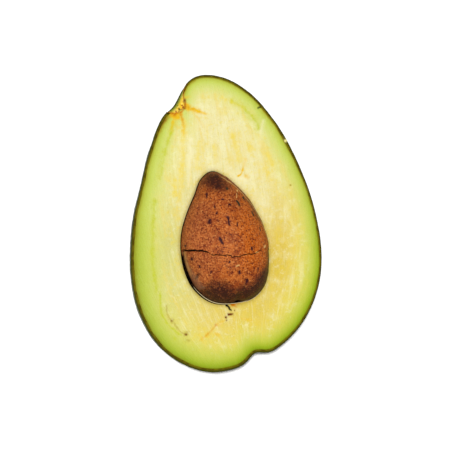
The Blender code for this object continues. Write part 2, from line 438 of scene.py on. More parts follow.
class Recipe:
    """A material while its nodes are put together."""

    def __init__(self, name: str, roughness: float, **sockets: float) -> None:
        """Start with a Principled shader.

        Args:
            name: The material's name.
            roughness: The shader's roughness, unless a socket is joined to it later.
            **sockets: Other sockets of the shader that stay the same all over, with _ for a space.
        """
        self.material = bpy.data.materials.new(name)
        self.material.use_nodes = True
        self.nodes = self.material.node_tree.nodes
        self.shader = self.nodes["Principled BSDF"]
        self.shader.inputs["Roughness"].default_value = roughness
        for label, value in sockets.items():
            self.shader.inputs[label.replace("_", " ")].default_value = value

    def feed(self, target: Socket, source: Socket | float | Colour) -> None:
        """Join a socket to an input, or set the input where the source is a number or a colour."""
        if isinstance(source, bpy.types.NodeSocket):
            self.material.node_tree.links.new(source, target)
        else:
            target.default_value = source

    def value(self, label: str) -> Socket:
        """A per-point value of the mesh."""
        node = self.nodes.new("ShaderNodeAttribute")
        node.attribute_name = label
        return node.outputs["Fac"]

    def place(self, size: tuple[float, float, float]) -> Socket:
        """The place on the piece, in steps of a size in millimetres for X, Y and Z."""
        where = self.nodes.new("ShaderNodeTexCoord")
        scale = self.nodes.new("ShaderNodeMapping")
        scale.inputs["Scale"].default_value = tuple(1.0 / (side * MM) for side in size)
        self.feed(scale.inputs["Vector"], where.outputs["Object"])
        return scale.outputs["Vector"]

    def fibre_place(self, wide: float, long: float) -> Socket:
        """The place among the fibres, in steps of a width across them and a length along them."""
        pair = self.nodes.new("ShaderNodeCombineXYZ")
        self.feed(pair.inputs["X"], self.sum((self.value("across"), 1.0 / wide)))
        self.feed(pair.inputs["Y"], self.sum((self.value("along"), 1.0 / long)))
        return pair.outputs["Vector"]

    def noise(self, where: Socket, detail: float = 2.0, twist: float = 0.0) -> Socket:
        """Cloudy noise.

        Args:
            where: The place, in steps of the clouds' size.
            detail: How many finer layers it has.
            twist: How far it is pulled about.

        Returns:
            A socket from 0 to 1 that is mostly near a half.
        """
        node = self.nodes.new("ShaderNodeTexNoise")
        node.inputs["Scale"].default_value = 1.0
        node.inputs["Detail"].default_value = detail
        node.inputs["Distortion"].default_value = twist
        self.feed(node.inputs["Vector"], where)
        return node.outputs["Fac"]

    def clouds(self, size: float, detail: float = 2.0, twist: float = 0.0) -> Socket:
        """Cloudy noise of one size each way, in millimetres."""
        return self.noise(self.place((size, size, size)), detail, twist)

    def cells(self, size: float) -> Socket:
        """The distance to the nearest of scattered centres a size apart, in sizes."""
        node = self.nodes.new("ShaderNodeTexVoronoi")
        node.inputs["Scale"].default_value = 1.0
        self.feed(node.inputs["Vector"], self.place((size, size, size)))
        return node.outputs["Distance"]

    def step(self, source: Socket, low: float, high: float, amount: float = 1.0) -> Socket:
        """A smooth step: 0 where the source is at low and the amount where it is at high."""
        node = self.nodes.new("ShaderNodeMapRange")
        node.interpolation_type = "SMOOTHSTEP"
        for label, value in (("From Min", low), ("From Max", high), ("To Min", 0.0), ("To Max", amount)):
            node.inputs[label].default_value = value
        self.feed(node.inputs["Value"], source)
        return node.outputs["Result"]

    def sum(self, *terms: tuple[Socket, float], plus: float = 0.0) -> Socket:
        """The sum of sockets, each times a number, plus a number."""
        total: Socket | float = plus
        for source, weight in terms:
            node = self.nodes.new("ShaderNodeMath")
            node.operation = "MULTIPLY_ADD"
            self.feed(node.inputs[0], source)
            node.inputs[1].default_value = weight
            self.feed(node.inputs[2], total)
            total = node.outputs["Value"]
        return total

    def times(self, one: Socket, other: Socket) -> Socket:
        """One socket times another, kept between 0 and 1."""
        node = self.nodes.new("ShaderNodeMath")
        node.operation = "MULTIPLY"
        node.use_clamp = True
        self.feed(node.inputs[0], one)
        self.feed(node.inputs[1], other)
        return node.outputs["Value"]

    def blend(self, under: Socket | Colour, over: Socket | Colour, amount: Socket) -> Socket:
        """One colour over another, by an amount from 0 to 1."""
        node = self.nodes.new("ShaderNodeMix")
        node.data_type = "RGBA"
        factor, under_socket, over_socket = node.inputs[0], node.inputs[6], node.inputs[7]
        self.feed(factor, amount)
        self.feed(under_socket, under)
        self.feed(over_socket, over)
        return node.outputs[2]

    def coats(self, colour: Socket, layers: tuple[tuple[Colour, Socket], ...]) -> Socket:
        """A colour with (colour, amount) layers over it, the first one lowest."""
        for over, amount in layers:
            colour = self.blend(colour, over, amount)
        return colour

    def marked(self, colour: Socket, marks: tuple[tuple[str, Colour], ...], broken: Socket) -> Socket:
        """A colour with (per-point value, colour) marks over it, each broken up by a noise."""
        for label, tint in marks:
            colour = self.blend(colour, tint, self.times(self.value(label), broken))
        return colour

    def ramp(self, source: Socket, stops: Stops) -> Socket:
        """A colour that changes smoothly with a socket from 0 to 1, through (place, colour) stops."""
        node = self.nodes.new("ShaderNodeValToRGB")
        marks = node.color_ramp.elements
        for index, (where, colour) in enumerate(stops):
            mark = marks[index] if index < 2 else marks.new(where)
            mark.position = where
            mark.color = colour
        self.feed(node.inputs["Fac"], source)
        return node.outputs["Color"]

    def done(
        self, colour: Socket, height: Socket, deep: float, roughness: Socket | None = None
    ) -> bpy.types.Material:
        """Join the colour, the fine relief and the roughness to the shader.

        Args:
            colour: The base colour.
            height: The fine relief, from 0 to 1.
            deep: How many millimetres the relief's 0 to 1 stands for.
            roughness: The roughness, where it changes over the surface.

        Returns:
            The finished material.
        """
        self.feed(self.shader.inputs["Base Color"], colour)
        bump = self.nodes.new("ShaderNodeBump")
        bump.inputs["Strength"].default_value = 1.0
        bump.inputs["Distance"].default_value = deep * MM
        self.feed(bump.inputs["Height"], height)
        self.feed(self.shader.inputs["Normal"], bump.outputs["Normal"])
        if roughness is not None:
            self.feed(self.shader.inputs["Roughness"], roughness)
        return self.material


class Mark(Enum):
    """The kinds of mark on the cut face; each is a per-point value that the flesh's finish reads. Olive also
    paints shade round the hollow's lip, and brown and black paint shade down its wall.
    """

    PALE = "mark_pale"
    GREEN = "mark_green"
    LEMON = "mark_lemon"
    YELLOW = "mark_yellow"
    OLIVE = "mark_olive_and_shade"
    ORANGE = "mark_orange"
    BROWN = "mark_brown_and_shade"
    BLACK = "mark_black_and_shade"


class Tint(Enum):
    """Broad changes of the flesh's colour; each is a per-point value that its finish reads."""

    GOLD = "gold"
    MILKY = "milky"


@dataclass(frozen=True)
class FleshFinish:
    """Moist cut flesh: green by the peel, cream to gold further in, with fibres, marks, and painted shade
    round and down the seed's hollow.
    """

    pale: Stops = (
        (0.0, paint(134, 130, 20)),
        (0.02, paint(157, 159, 46)),
        (0.04, paint(170, 179, 64)),
        (0.092, paint(182, 193, 85)),
        (0.143, paint(189, 197, 100)),
        (0.22, paint(197, 200, 112)),
        (0.32, paint(206, 203, 129)),
        (0.43, paint(212, 205, 137)),
        (0.55, paint(214, 206, 147)),
        (0.75, paint(215, 206, 150)),
    )
    lush: Stops = (
        (0.0, paint(109, 123, 3)),
        (0.02, paint(125, 145, 6)),
        (0.04, paint(134, 157, 12)),
        (0.092, paint(158, 172, 40)),
        (0.143, paint(173, 181, 58)),
        (0.22, paint(187, 188, 71)),
        (0.32, paint(202, 193, 87)),
        (0.43, paint(207, 194, 92)),
        (0.55, paint(209, 192, 96)),
        (0.8, paint(205, 184, 91)),
    )
    ramp_reach: float = 20.0  # millimetres from the peel to a ramp's far end
    tints: tuple[tuple[Tint, Colour], ...] = (
        (Tint.GOLD, paint(200, 172, 52)),
        (Tint.MILKY, paint(188, 186, 112)),
    )
    marks: tuple[tuple[Mark, Colour], ...] = (
        (Mark.PALE, paint(226, 220, 176)),
        (Mark.GREEN, paint(178, 184, 44)),
        (Mark.LEMON, paint(216, 194, 72)),
        (Mark.YELLOW, paint(214, 172, 22)),
        # olive streaks, and painted shade round the lip of the seed's hollow
        (Mark.OLIVE, paint(150, 124, 8)),
        (Mark.ORANGE, paint(186, 112, 0)),
        # brown and black stains and spots, and painted shade down the hollow's wall
        (Mark.BROWN, paint(104, 48, 2)),
        (Mark.BLACK, paint(14, 6, 1)),
    )

    def material(self) -> bpy.types.Material:
        """Mix the material."""
        recipe = Recipe(
            "cut_flesh",
            0.5,
            Subsurface_Weight=0.1,
            Subsurface_Scale=0.002,
            Specular_IOR_Level=0.07,
        )
        recipe.shader.inputs["Subsurface Radius"].default_value = (1.0, 0.8, 0.25)
        fibres = recipe.noise(recipe.fibre_place(0.7, 7.0), 3.0, 0.3)
        strands = recipe.noise(recipe.fibre_place(2.6, 16.0), 3.0, 0.9)
        clouds = recipe.clouds(5.0, 3.0)
        mottle = recipe.clouds(1.5, 3.0, 0.4)
        grain = recipe.clouds(0.5, 2.0)
        rim = recipe.value("rim")
        wander = recipe.sum((clouds, 0.16), (strands, 0.12), (mottle, 0.04), plus=-0.16)
        wander = recipe.times(wander, recipe.step(rim, 0.2, 5.0))
        reach = recipe.sum((rim, 1.0 / self.ramp_reach), (wander, 1.0))
        colour = recipe.blend(
            recipe.ramp(reach, self.pale), recipe.ramp(reach, self.lush), recipe.value("lush")
        )
        for tint, patch in self.tints:
            colour = recipe.blend(colour, patch, recipe.value(tint.value))
        deep = recipe.step(rim, 2.0, 8.0)
        inner = (
            (paint(214, 188, 74), strands, (0.51, 0.72, 0.40)),
            (paint(224, 219, 172), strands, (0.49, 0.28, 0.36)),
            (paint(212, 189, 66), clouds, (0.50, 0.74, 0.28)),
            (paint(222, 220, 176), clouds, (0.48, 0.26, 0.26)),
            (paint(214, 192, 58), mottle, (0.53, 0.72, 0.40)),
            (paint(226, 223, 182), mottle, (0.46, 0.26, 0.30)),
            (paint(190, 178, 74), fibres, (0.54, 0.78, 0.30)),
            (paint(224, 219, 174), fibres, (0.46, 0.24, 0.12)),
        )
        for tint, source, span in inner:
            colour = recipe.blend(colour, tint, recipe.times(recipe.step(source, *span), deep))
        colour = recipe.blend(colour, paint(160, 146, 40), recipe.step(grain, 0.55, 0.80, 0.24))
        broken = recipe.sum((mottle, 1.1), (grain, 1.1), plus=-0.1)
        colour = recipe.marked(colour, tuple((mark.value, tint) for mark, tint in self.marks), broken)
        wet = recipe.step(clouds, 0.3, 0.7, 0.14)
        roughness = recipe.sum((wet, 1.0), (recipe.step(grain, 0.2, 0.8), 0.12), plus=0.36)
        return recipe.done(colour, recipe.sum((fibres, 0.6), (grain, 0.4)), 0.20, roughness)


@dataclass(frozen=True)
class PeelFinish:
    """Leathery skin: dark green and pebbled, with painted shade between the pebbles, pale pores, and brown
    where the knife went through it.
    """

    name: str
    gloss: float

    def material(self) -> bpy.types.Material:
        """Mix the material."""
        recipe = Recipe(self.name, 0.5, Specular_IOR_Level=self.gloss)
        patches = recipe.clouds(11.0, 4.0, 0.6)
        mottle = recipe.clouds(2.2, 4.0, 0.3)
        grain = recipe.clouds(0.4, 2.0)
        pores = recipe.cells(2.4)
        colour = recipe.blend(paint(60, 74, 20), paint(34, 46, 12), recipe.step(patches, 0.35, 0.62))
        layers = (
            (paint(58, 40, 18), recipe.step(patches, 0.60, 0.74, 0.7)),
            (paint(84, 98, 30), recipe.step(mottle, 0.54, 0.72, 0.55)),
            # painted shade: darker green deep between the pebbles
            (paint(22, 30, 9), recipe.step(recipe.value("valley"), 0.3, 1.0, 0.6)),
            (paint(130, 132, 72), recipe.step(pores, 0.17, 0.09, 0.75)),
        )
        colour = recipe.coats(colour, layers)
        scarred = recipe.times(recipe.value("scar"), recipe.step(mottle, 0.3, 0.6))
        colour = recipe.blend(colour, paint(78, 64, 28), scarred)
        inner = recipe.blend(paint(118, 102, 6), paint(84, 62, 4), recipe.step(mottle, 0.42, 0.62))
        cut = recipe.blend(paint(62, 62, 2), inner, recipe.value("inner"))
        colour = recipe.blend(colour, cut, recipe.value("cut"))
        colour = recipe.blend(colour, paint(226, 214, 140), recipe.value("chip"))
        height = recipe.sum((mottle, 0.5), (grain, 0.3), (recipe.step(pores, 0.05, 0.16), 0.2))
        roughness = recipe.sum(
            (recipe.step(mottle, 0.2, 0.8), 0.2), (recipe.value("cut"), 0.15), (grain, 0.2), plus=0.28
        )
        return recipe.done(colour, height, 0.30, roughness)


class SeedMark(Enum):
    """The kinds of mark on the seed; each is a per-point value that its finish reads."""

    DARK = "seed_dark"  # its darker ends, the lower partly painted shade, and painted shade low on its far side
    RIM = "seed_rim"  # greenish brown by the flesh: painted shade along its lower right side, and a band higher up that side
    FILM = "seed_film"  # a greyish film of coat
    FLECK = "seed_fleck"
    OLIVE = "seed_olive"
    PALE = "seed_pale"
    # painted shade: nearly black down in the knife's crack
    CRACK_SHADE = "seed_crack_shade"


@dataclass(frozen=True)
class SeedFinish:
    """A dry seed: orange brown, finely speckled, darker at both ends; painted shade darkens its lower flank
    and right side and makes its crack nearly black.
    """

    marks: tuple[tuple[SeedMark, Colour], ...] = (
        # darker ends, the lower partly painted shade, and painted shade low on the far side
        (SeedMark.DARK, paint(54, 20, 11)),
        # painted shade along the lower right side by the flesh, and a band higher up that side
        (SeedMark.RIM, paint(74, 54, 16)),
        (SeedMark.FILM, paint(130, 98, 78)),
        (SeedMark.OLIVE, paint(44, 36, 22)),
        (SeedMark.FLECK, paint(54, 14, 20)),
        (SeedMark.PALE, paint(214, 168, 100)),
    )

    def material(self) -> bpy.types.Material:
        """Mix the material."""
        recipe = Recipe("dry_seed", 0.6, Specular_IOR_Level=0.12)
        patches = recipe.clouds(5.0, 4.0, 0.7)
        mottle = recipe.clouds(1.4, 4.0, 0.4)
        dots = recipe.clouds(0.62, 2.0, 0.3)
        grain = recipe.clouds(0.34, 3.0)
        lines = recipe.noise(recipe.place((0.5, 2.2, 2.2)), 3.0, 0.3)
        colour = recipe.blend(paint(172, 88, 28), paint(138, 60, 14), recipe.step(patches, 0.38, 0.62))
        colour = recipe.blend(colour, paint(158, 84, 46), recipe.value("sheen"))
        colour = recipe.blend(colour, paint(184, 88, 6), recipe.value("amber"))
        layers = (
            (paint(194, 118, 54), recipe.step(mottle, 0.52, 0.70, 0.45)),
            (paint(100, 36, 12), recipe.step(mottle, 0.46, 0.30, 0.6)),
            (paint(104, 34, 14), recipe.step(lines, 0.55, 0.72, 0.6)),
            (paint(80, 24, 12), recipe.step(dots, 0.53, 0.67, 0.9)),
            (paint(204, 134, 74), recipe.step(dots, 0.45, 0.30, 0.62)),
            (paint(204, 136, 78), recipe.step(grain, 0.57, 0.76, 0.50)),
        )
        colour = recipe.coats(colour, layers)
        broken = recipe.sum((mottle, 1.2), (dots, 1.0), plus=-0.1)
        colour = recipe.marked(colour, tuple((mark.value, tint) for mark, tint in self.marks), broken)
        # painted shade: the crack nearly black
        colour = recipe.blend(colour, paint(16, 6, 3), recipe.value(SeedMark.CRACK_SHADE.value))
        height = recipe.sum((mottle, 0.4), (dots, -0.4), (grain, 0.3))
        return recipe.done(colour, height, 0.34, recipe.sum((grain, 0.3), plus=0.42))


@dataclass(frozen=True)
class StemFinish:
    """The cut stub of the stalk: yellow fibres with orange and brown threads."""

    def material(self) -> bpy.types.Material:
        """Mix the material."""
        recipe = Recipe("stem_fibres", 0.6, Specular_IOR_Level=0.2)
        fibres = recipe.noise(recipe.place((0.5, 2.4, 2.4)), 3.0, 0.6)
        mottle = recipe.clouds(1.0, 3.0, 0.5)
        grain = recipe.clouds(0.3, 2.0)
        colour = recipe.blend(paint(238, 212, 92), paint(228, 186, 34), recipe.step(mottle, 0.4, 0.6))
        colour = recipe.blend(colour, paint(204, 140, 4), recipe.step(fibres, 0.56, 0.74, 0.6))
        colour = recipe.blend(colour, paint(108, 120, 22), recipe.value("outer"))
        broken = recipe.sum((mottle, 1.2), (grain, 1.0), plus=-0.1)
        colour = recipe.marked(colour, (("edge", paint(176, 92, 2)), ("rust", paint(140, 66, 4))), broken)
        colour = recipe.blend(colour, paint(24, 12, 6), recipe.value("dot"))
        return recipe.done(colour, recipe.sum((fibres, 0.6), (grain, 0.4)), 0.4)


@dataclass(frozen=True)
class CoatFinish:
    """The papery coat that has come away from the seed."""

    def material(self) -> bpy.types.Material:
        """Mix the material."""
        recipe = Recipe("papery_coat", 0.6, Specular_IOR_Level=0.2)
        mottle = recipe.clouds(1.6, 3.0, 0.4)
        grain = recipe.clouds(0.3, 2.0)
        colour = recipe.blend(paint(150, 110, 66), paint(104, 62, 30), recipe.step(mottle, 0.42, 0.62))
        colour = recipe.blend(colour, paint(188, 172, 130), recipe.value("edge"))
        return recipe.done(colour, grain, 0.1)


@dataclass(frozen=True)
class FloorFinish:
    """Plain white paper."""

    def material(self) -> bpy.types.Material:
        """Mix the material."""
        recipe = Recipe("white_paper", 0.9, Specular_IOR_Level=0.1)
        clouds = recipe.clouds(60.0)
        colour = recipe.blend(paint(252, 251, 250), paint(249, 248, 247), recipe.step(clouds, 0.4, 0.6))
        return recipe.done(colour, recipe.clouds(1.2), 0.02)


# ---------------------------------------------------------------- the stem's seat, shared by three pieces


@dataclass(frozen=True)
class StemSeat:
    """The place at the fruit's edge that the stem button fills."""

    first: float = 104.2  # heading of its end by the top of the fruit
    last: float = 115.3
    inner: Knots = (  # heading, radius of its inner side
        (104.2, 61.9), (105.3, 60.4), (106.4, 58.6), (106.95, 57.2), (107.5, 54.0), (108.0, 53.3),
        (108.9, 52.8), (110.2, 52.4), (111.8, 52.3), (113.2, 52.9), (114.3, 53.5), (115.3, 54.1),
    )
    tall: float = 3.6  # below the cut, in the middle

    def reach(self, heading: Array) -> Array:
        """The inner side's radius, or more than any outline's away from the seat."""
        table = np.array(self.inner)
        ragged = Field(41, 0.9).hills(flat(heading, 0.0 * heading), 2) * hill(turn(heading, 110.0), 3.5)
        inside = (heading > self.first) & (heading < self.last)
        return np.where(inside, np.interp(heading, table[:, 0], table[:, 1]) + 0.3 * ragged, 99.0)

    def drop(self, heading: Array) -> Array:
        """How far below the cut the peel's edge runs at each heading."""
        middle = (self.first + self.last) / 2.0
        across = np.clip(np.abs(turn(heading, middle)) / ((self.last - self.first) / 2.0), 0.0, 1.0)
        return self.tall * np.sqrt(1.0 - across**2)


SEAT = StemSeat()


# ---------------------------------------------------------------- the pieces


@dataclass
class Peel:
    """The skin: a thin shell, pebbled outside, whose cut edge shows as a dark line round the flesh."""

    cut_edge: Knots = (  # heading, thickness where the knife went through
        (0, 0.64), (30, 0.60), (50, 0.62), (58, 0.90), (64, 0.80), (67, 0.62), (80, 0.66),
        (95, 0.68), (104, 0.72), (116, 1.05), (122, 1.00), (135, 0.88), (155, 0.90), (180, 1.12),
        (205, 1.08), (225, 0.92), (240, 0.86), (265, 0.86), (290, 0.72), (330, 0.64),
    )
    inside: float = 1.0  # thickness lower down
    stand_out: Knots = (  # heading, how far the skin stands out at the cut
        (0, 0.18), (45, 0.18), (70, 0.20), (90, 0.20), (125, 0.08), (190, 0.00), (215, 0.12),
        (240, 0.22), (262, 0.36), (300, 0.28), (335, 0.18),
    )
    bulge: float = 0.36  # how far the skin stands out just below the cut
    bulge_dip: float = 11.0
    pebble: float = 0.20
    pebble_size: float = 2.3
    outer_rows: int = 86
    inner_rows: int = 8
    lip_shares: tuple[float, ...] = (1.0, 0.7, 0.4, 0.12)
    dull_rows: int = 3  # of the outer rows, bruised by the knife
    chip_heading: float = 59.9

    def thickness(self, heading: Array) -> Array:
        """The peel's thickness at the cut."""
        ragged = Field(5, 3.0).hills(on_circle(heading, RING), 3)
        return round_curve(self.cut_edge, heading) * (1.0 + 0.14 * ragged)

    def edge(self, heading: Array) -> Array:
        """Radius of the peel's inner side at the cut, which the flesh fills."""
        skin = FRUIT.offset(heading, np.zeros_like(heading), -self.thickness(heading))
        return read_round(skin, heading)

    def outside(self, heading: Array, dip: Array, lowest: float) -> tuple[Array, Array]:
        """The pebbled outer surface.

        Args:
            heading: Headings, one a column.
            dip: Dips, one for each row and column.
            lowest: Z of what the half rests on, about the pole.

        Returns:
            The points, and how deep each lies between the pebbles, 0 to 1.
        """
        plain = FRUIT.skin(heading, dip)
        valley = np.clip(Field(11, self.pebble_size).nearest(plain), 0.0, 1.0) ** 2
        fine = Field(12, 0.9).hills(plain, 2)
        broad = Field(13, 14.0).hills(plain, 2)
        side = hill(turn(heading, 220.0), 45.0)
        swell = self.bulge * (0.3 + 0.7 * side) * hill(dip - self.bulge_dip, 9.0)
        clear = ease(dip, 0.0, 5.0)
        bumps = self.pebble * (0.45 - valley) + 0.03 * fine
        proud = round_curve(self.stand_out, heading) * hill(dip, 8.0)
        out = proud + swell * clear + bumps * (0.35 + 0.65 * clear) + 0.25 * broad * clear
        points = plain + FRUIT.outward(heading, dip) * out[..., None]
        points[..., 2] = np.maximum(points[..., 2], lowest)
        return points, valley

    def build(self, layout: Layout) -> bpy.types.Object:
        """Make the peel.

        Args:
            layout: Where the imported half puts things.

        Returns:
            The peel's object.
        """
        heading = layout.columns
        top = np.degrees(np.arcsin(np.clip(SEAT.drop(heading) / FRUIT.depth, 0.0, 1.0)))
        share = np.linspace(0.0, 1.0, self.outer_rows)[:, None] ** 1.25
        dips = top + (88.6 - top) * share
        outer, valley = self.outside(heading, dips, layout.lowest)
        thin = self.thickness(heading)
        across = np.array(self.lip_shares)[:, None]
        lip = FRUIT.offset(heading, top + 0.0 * across, -thin * across)
        ragged = Field(6, 1.2).hills(on_circle(heading, RING), 2)
        lip[..., 2] += 0.05 * np.sin(np.pi * across) + 0.05 * ragged
        step = np.linspace(0.0, 1.0, self.inner_rows)[:, None]
        inner_dips = top + 0.8 + (87.0 - top) * (1.0 - step)
        inner = FRUIT.offset(heading, inner_dips, -self.inside - (thin - self.inside) * step**3)
        inner[..., 2] = np.maximum(inner[..., 2], layout.lowest + self.inside)
        rows = np.concatenate([inner, lip, outer])

        start = self.inner_rows + len(lip)
        blank = np.zeros(rows.shape[:2])
        values = {label: blank.copy() for label in ("cut", "inner", "valley", "scar", "chip")}
        values["cut"][: start + 1] = 1.0
        values["cut"][start + 1] = 0.3
        values["inner"][: self.inner_rows] = 1.0
        values["inner"][self.inner_rows : start] = np.clip(across * 1.6 - 0.4, 0.0, 1.0)
        # how deep each point lies between the pebbles, which the finish paints as shade
        values["valley"][start:] = valley
        stem_end = 0.7 * hill(turn(heading, 110.2), 3.6) * hill(dips - top, 5.0)
        blossom_end = 0.6 * hill(turn(heading, 283.5), 4.0) * hill(dips, 12.0)
        values["scar"][start:] = stem_end + blossom_end
        values["chip"][self.inner_rows : start + 3] = hill(turn(heading, self.chip_heading), 0.55)
        tip = np.array([0.0, 0.0, layout.lowest])
        inner_tip = tip + [0.0, 0.0, self.inside]
        piece = hoops("peel_skin", layout.put(rows), layout.put(inner_tip), layout.put(tip), values)
        for finish in (PeelFinish("leathery_peel", 0.14), PeelFinish("dull_peel_edge", 0.03)):
            piece.data.materials.append(finish.material())
        which = np.zeros(len(piece.data.polygons), dtype=np.int32)
        which[: (start + self.dull_rows) * len(heading)] = 1
        piece.data.polygons.foreach_set("material_index", which)
        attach(piece, BODY)
        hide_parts("peel")
        return piece


@dataclass(frozen=True)
class Grain:
    """The way the flesh's fibres run: nearly along the fruit, drawing together beyond each end."""

    stem: tuple[float, float] = (-11.0, 84.0)
    blossom: tuple[float, float] = (8.0, -66.0)

    def over(self, x: Array, y: Array) -> tuple[Array, Array]:
        """Read the run of the fibres.

        Args:
            x: Places in the frame.
            y: Places in the frame.

        Returns:
            How far across and along the fibres each place lies, in millimetres half way down the fruit.
        """
        to_stem = (self.stem[0] - x, self.stem[1] - y)
        to_blossom = (self.blossom[0] - x, self.blossom[1] - y)
        angle = np.arctan2(to_stem[1], to_stem[0]) - np.arctan2(to_blossom[1], to_blossom[0])
        middle = math.dist(self.stem, self.blossom) / 4.0
        along = np.log((np.hypot(*to_stem) + 0.5) / (np.hypot(*to_blossom) + 0.5))
        return angle % (2.0 * np.pi) * middle, along * middle


@dataclass(frozen=True)
class Stroke:
    """One mark on the cut face: a spot, or a path that may thin and fade towards its end."""

    mark: Mark
    width: float
    strength: float
    path: Knots
    thin: float = 1.0  # share of the width left at the path's end
    fade: float = 1.0  # share of the strength left there
    relief: float = 0.0  # how far it stands up, or down where negative

    def over(self, x: Array, y: Array, uneven: Array) -> Array:
        """Read the mark.

        Args:
            x: Places on the cut face.
            y: Places on the cut face.
            uneven: Hills from -1 to 1 that make its edge and its strength uneven.

        Returns:
            How strongly the mark shows.
        """
        if len(self.path) == 1:
            distance, where = np.hypot(x - self.path[0][0], y - self.path[0][1]), np.zeros(x.shape)
        else:
            distance, where = along_path(x, y, smooth_path(self.path))
        width = self.width * (1.0 + (self.thin - 1.0) * where) * (1.0 + 0.4 * uneven)
        strength = self.strength * (1.0 + (self.fade - 1.0) * where) * (1.0 + 0.35 * uneven)
        return strength * hill(distance, width)


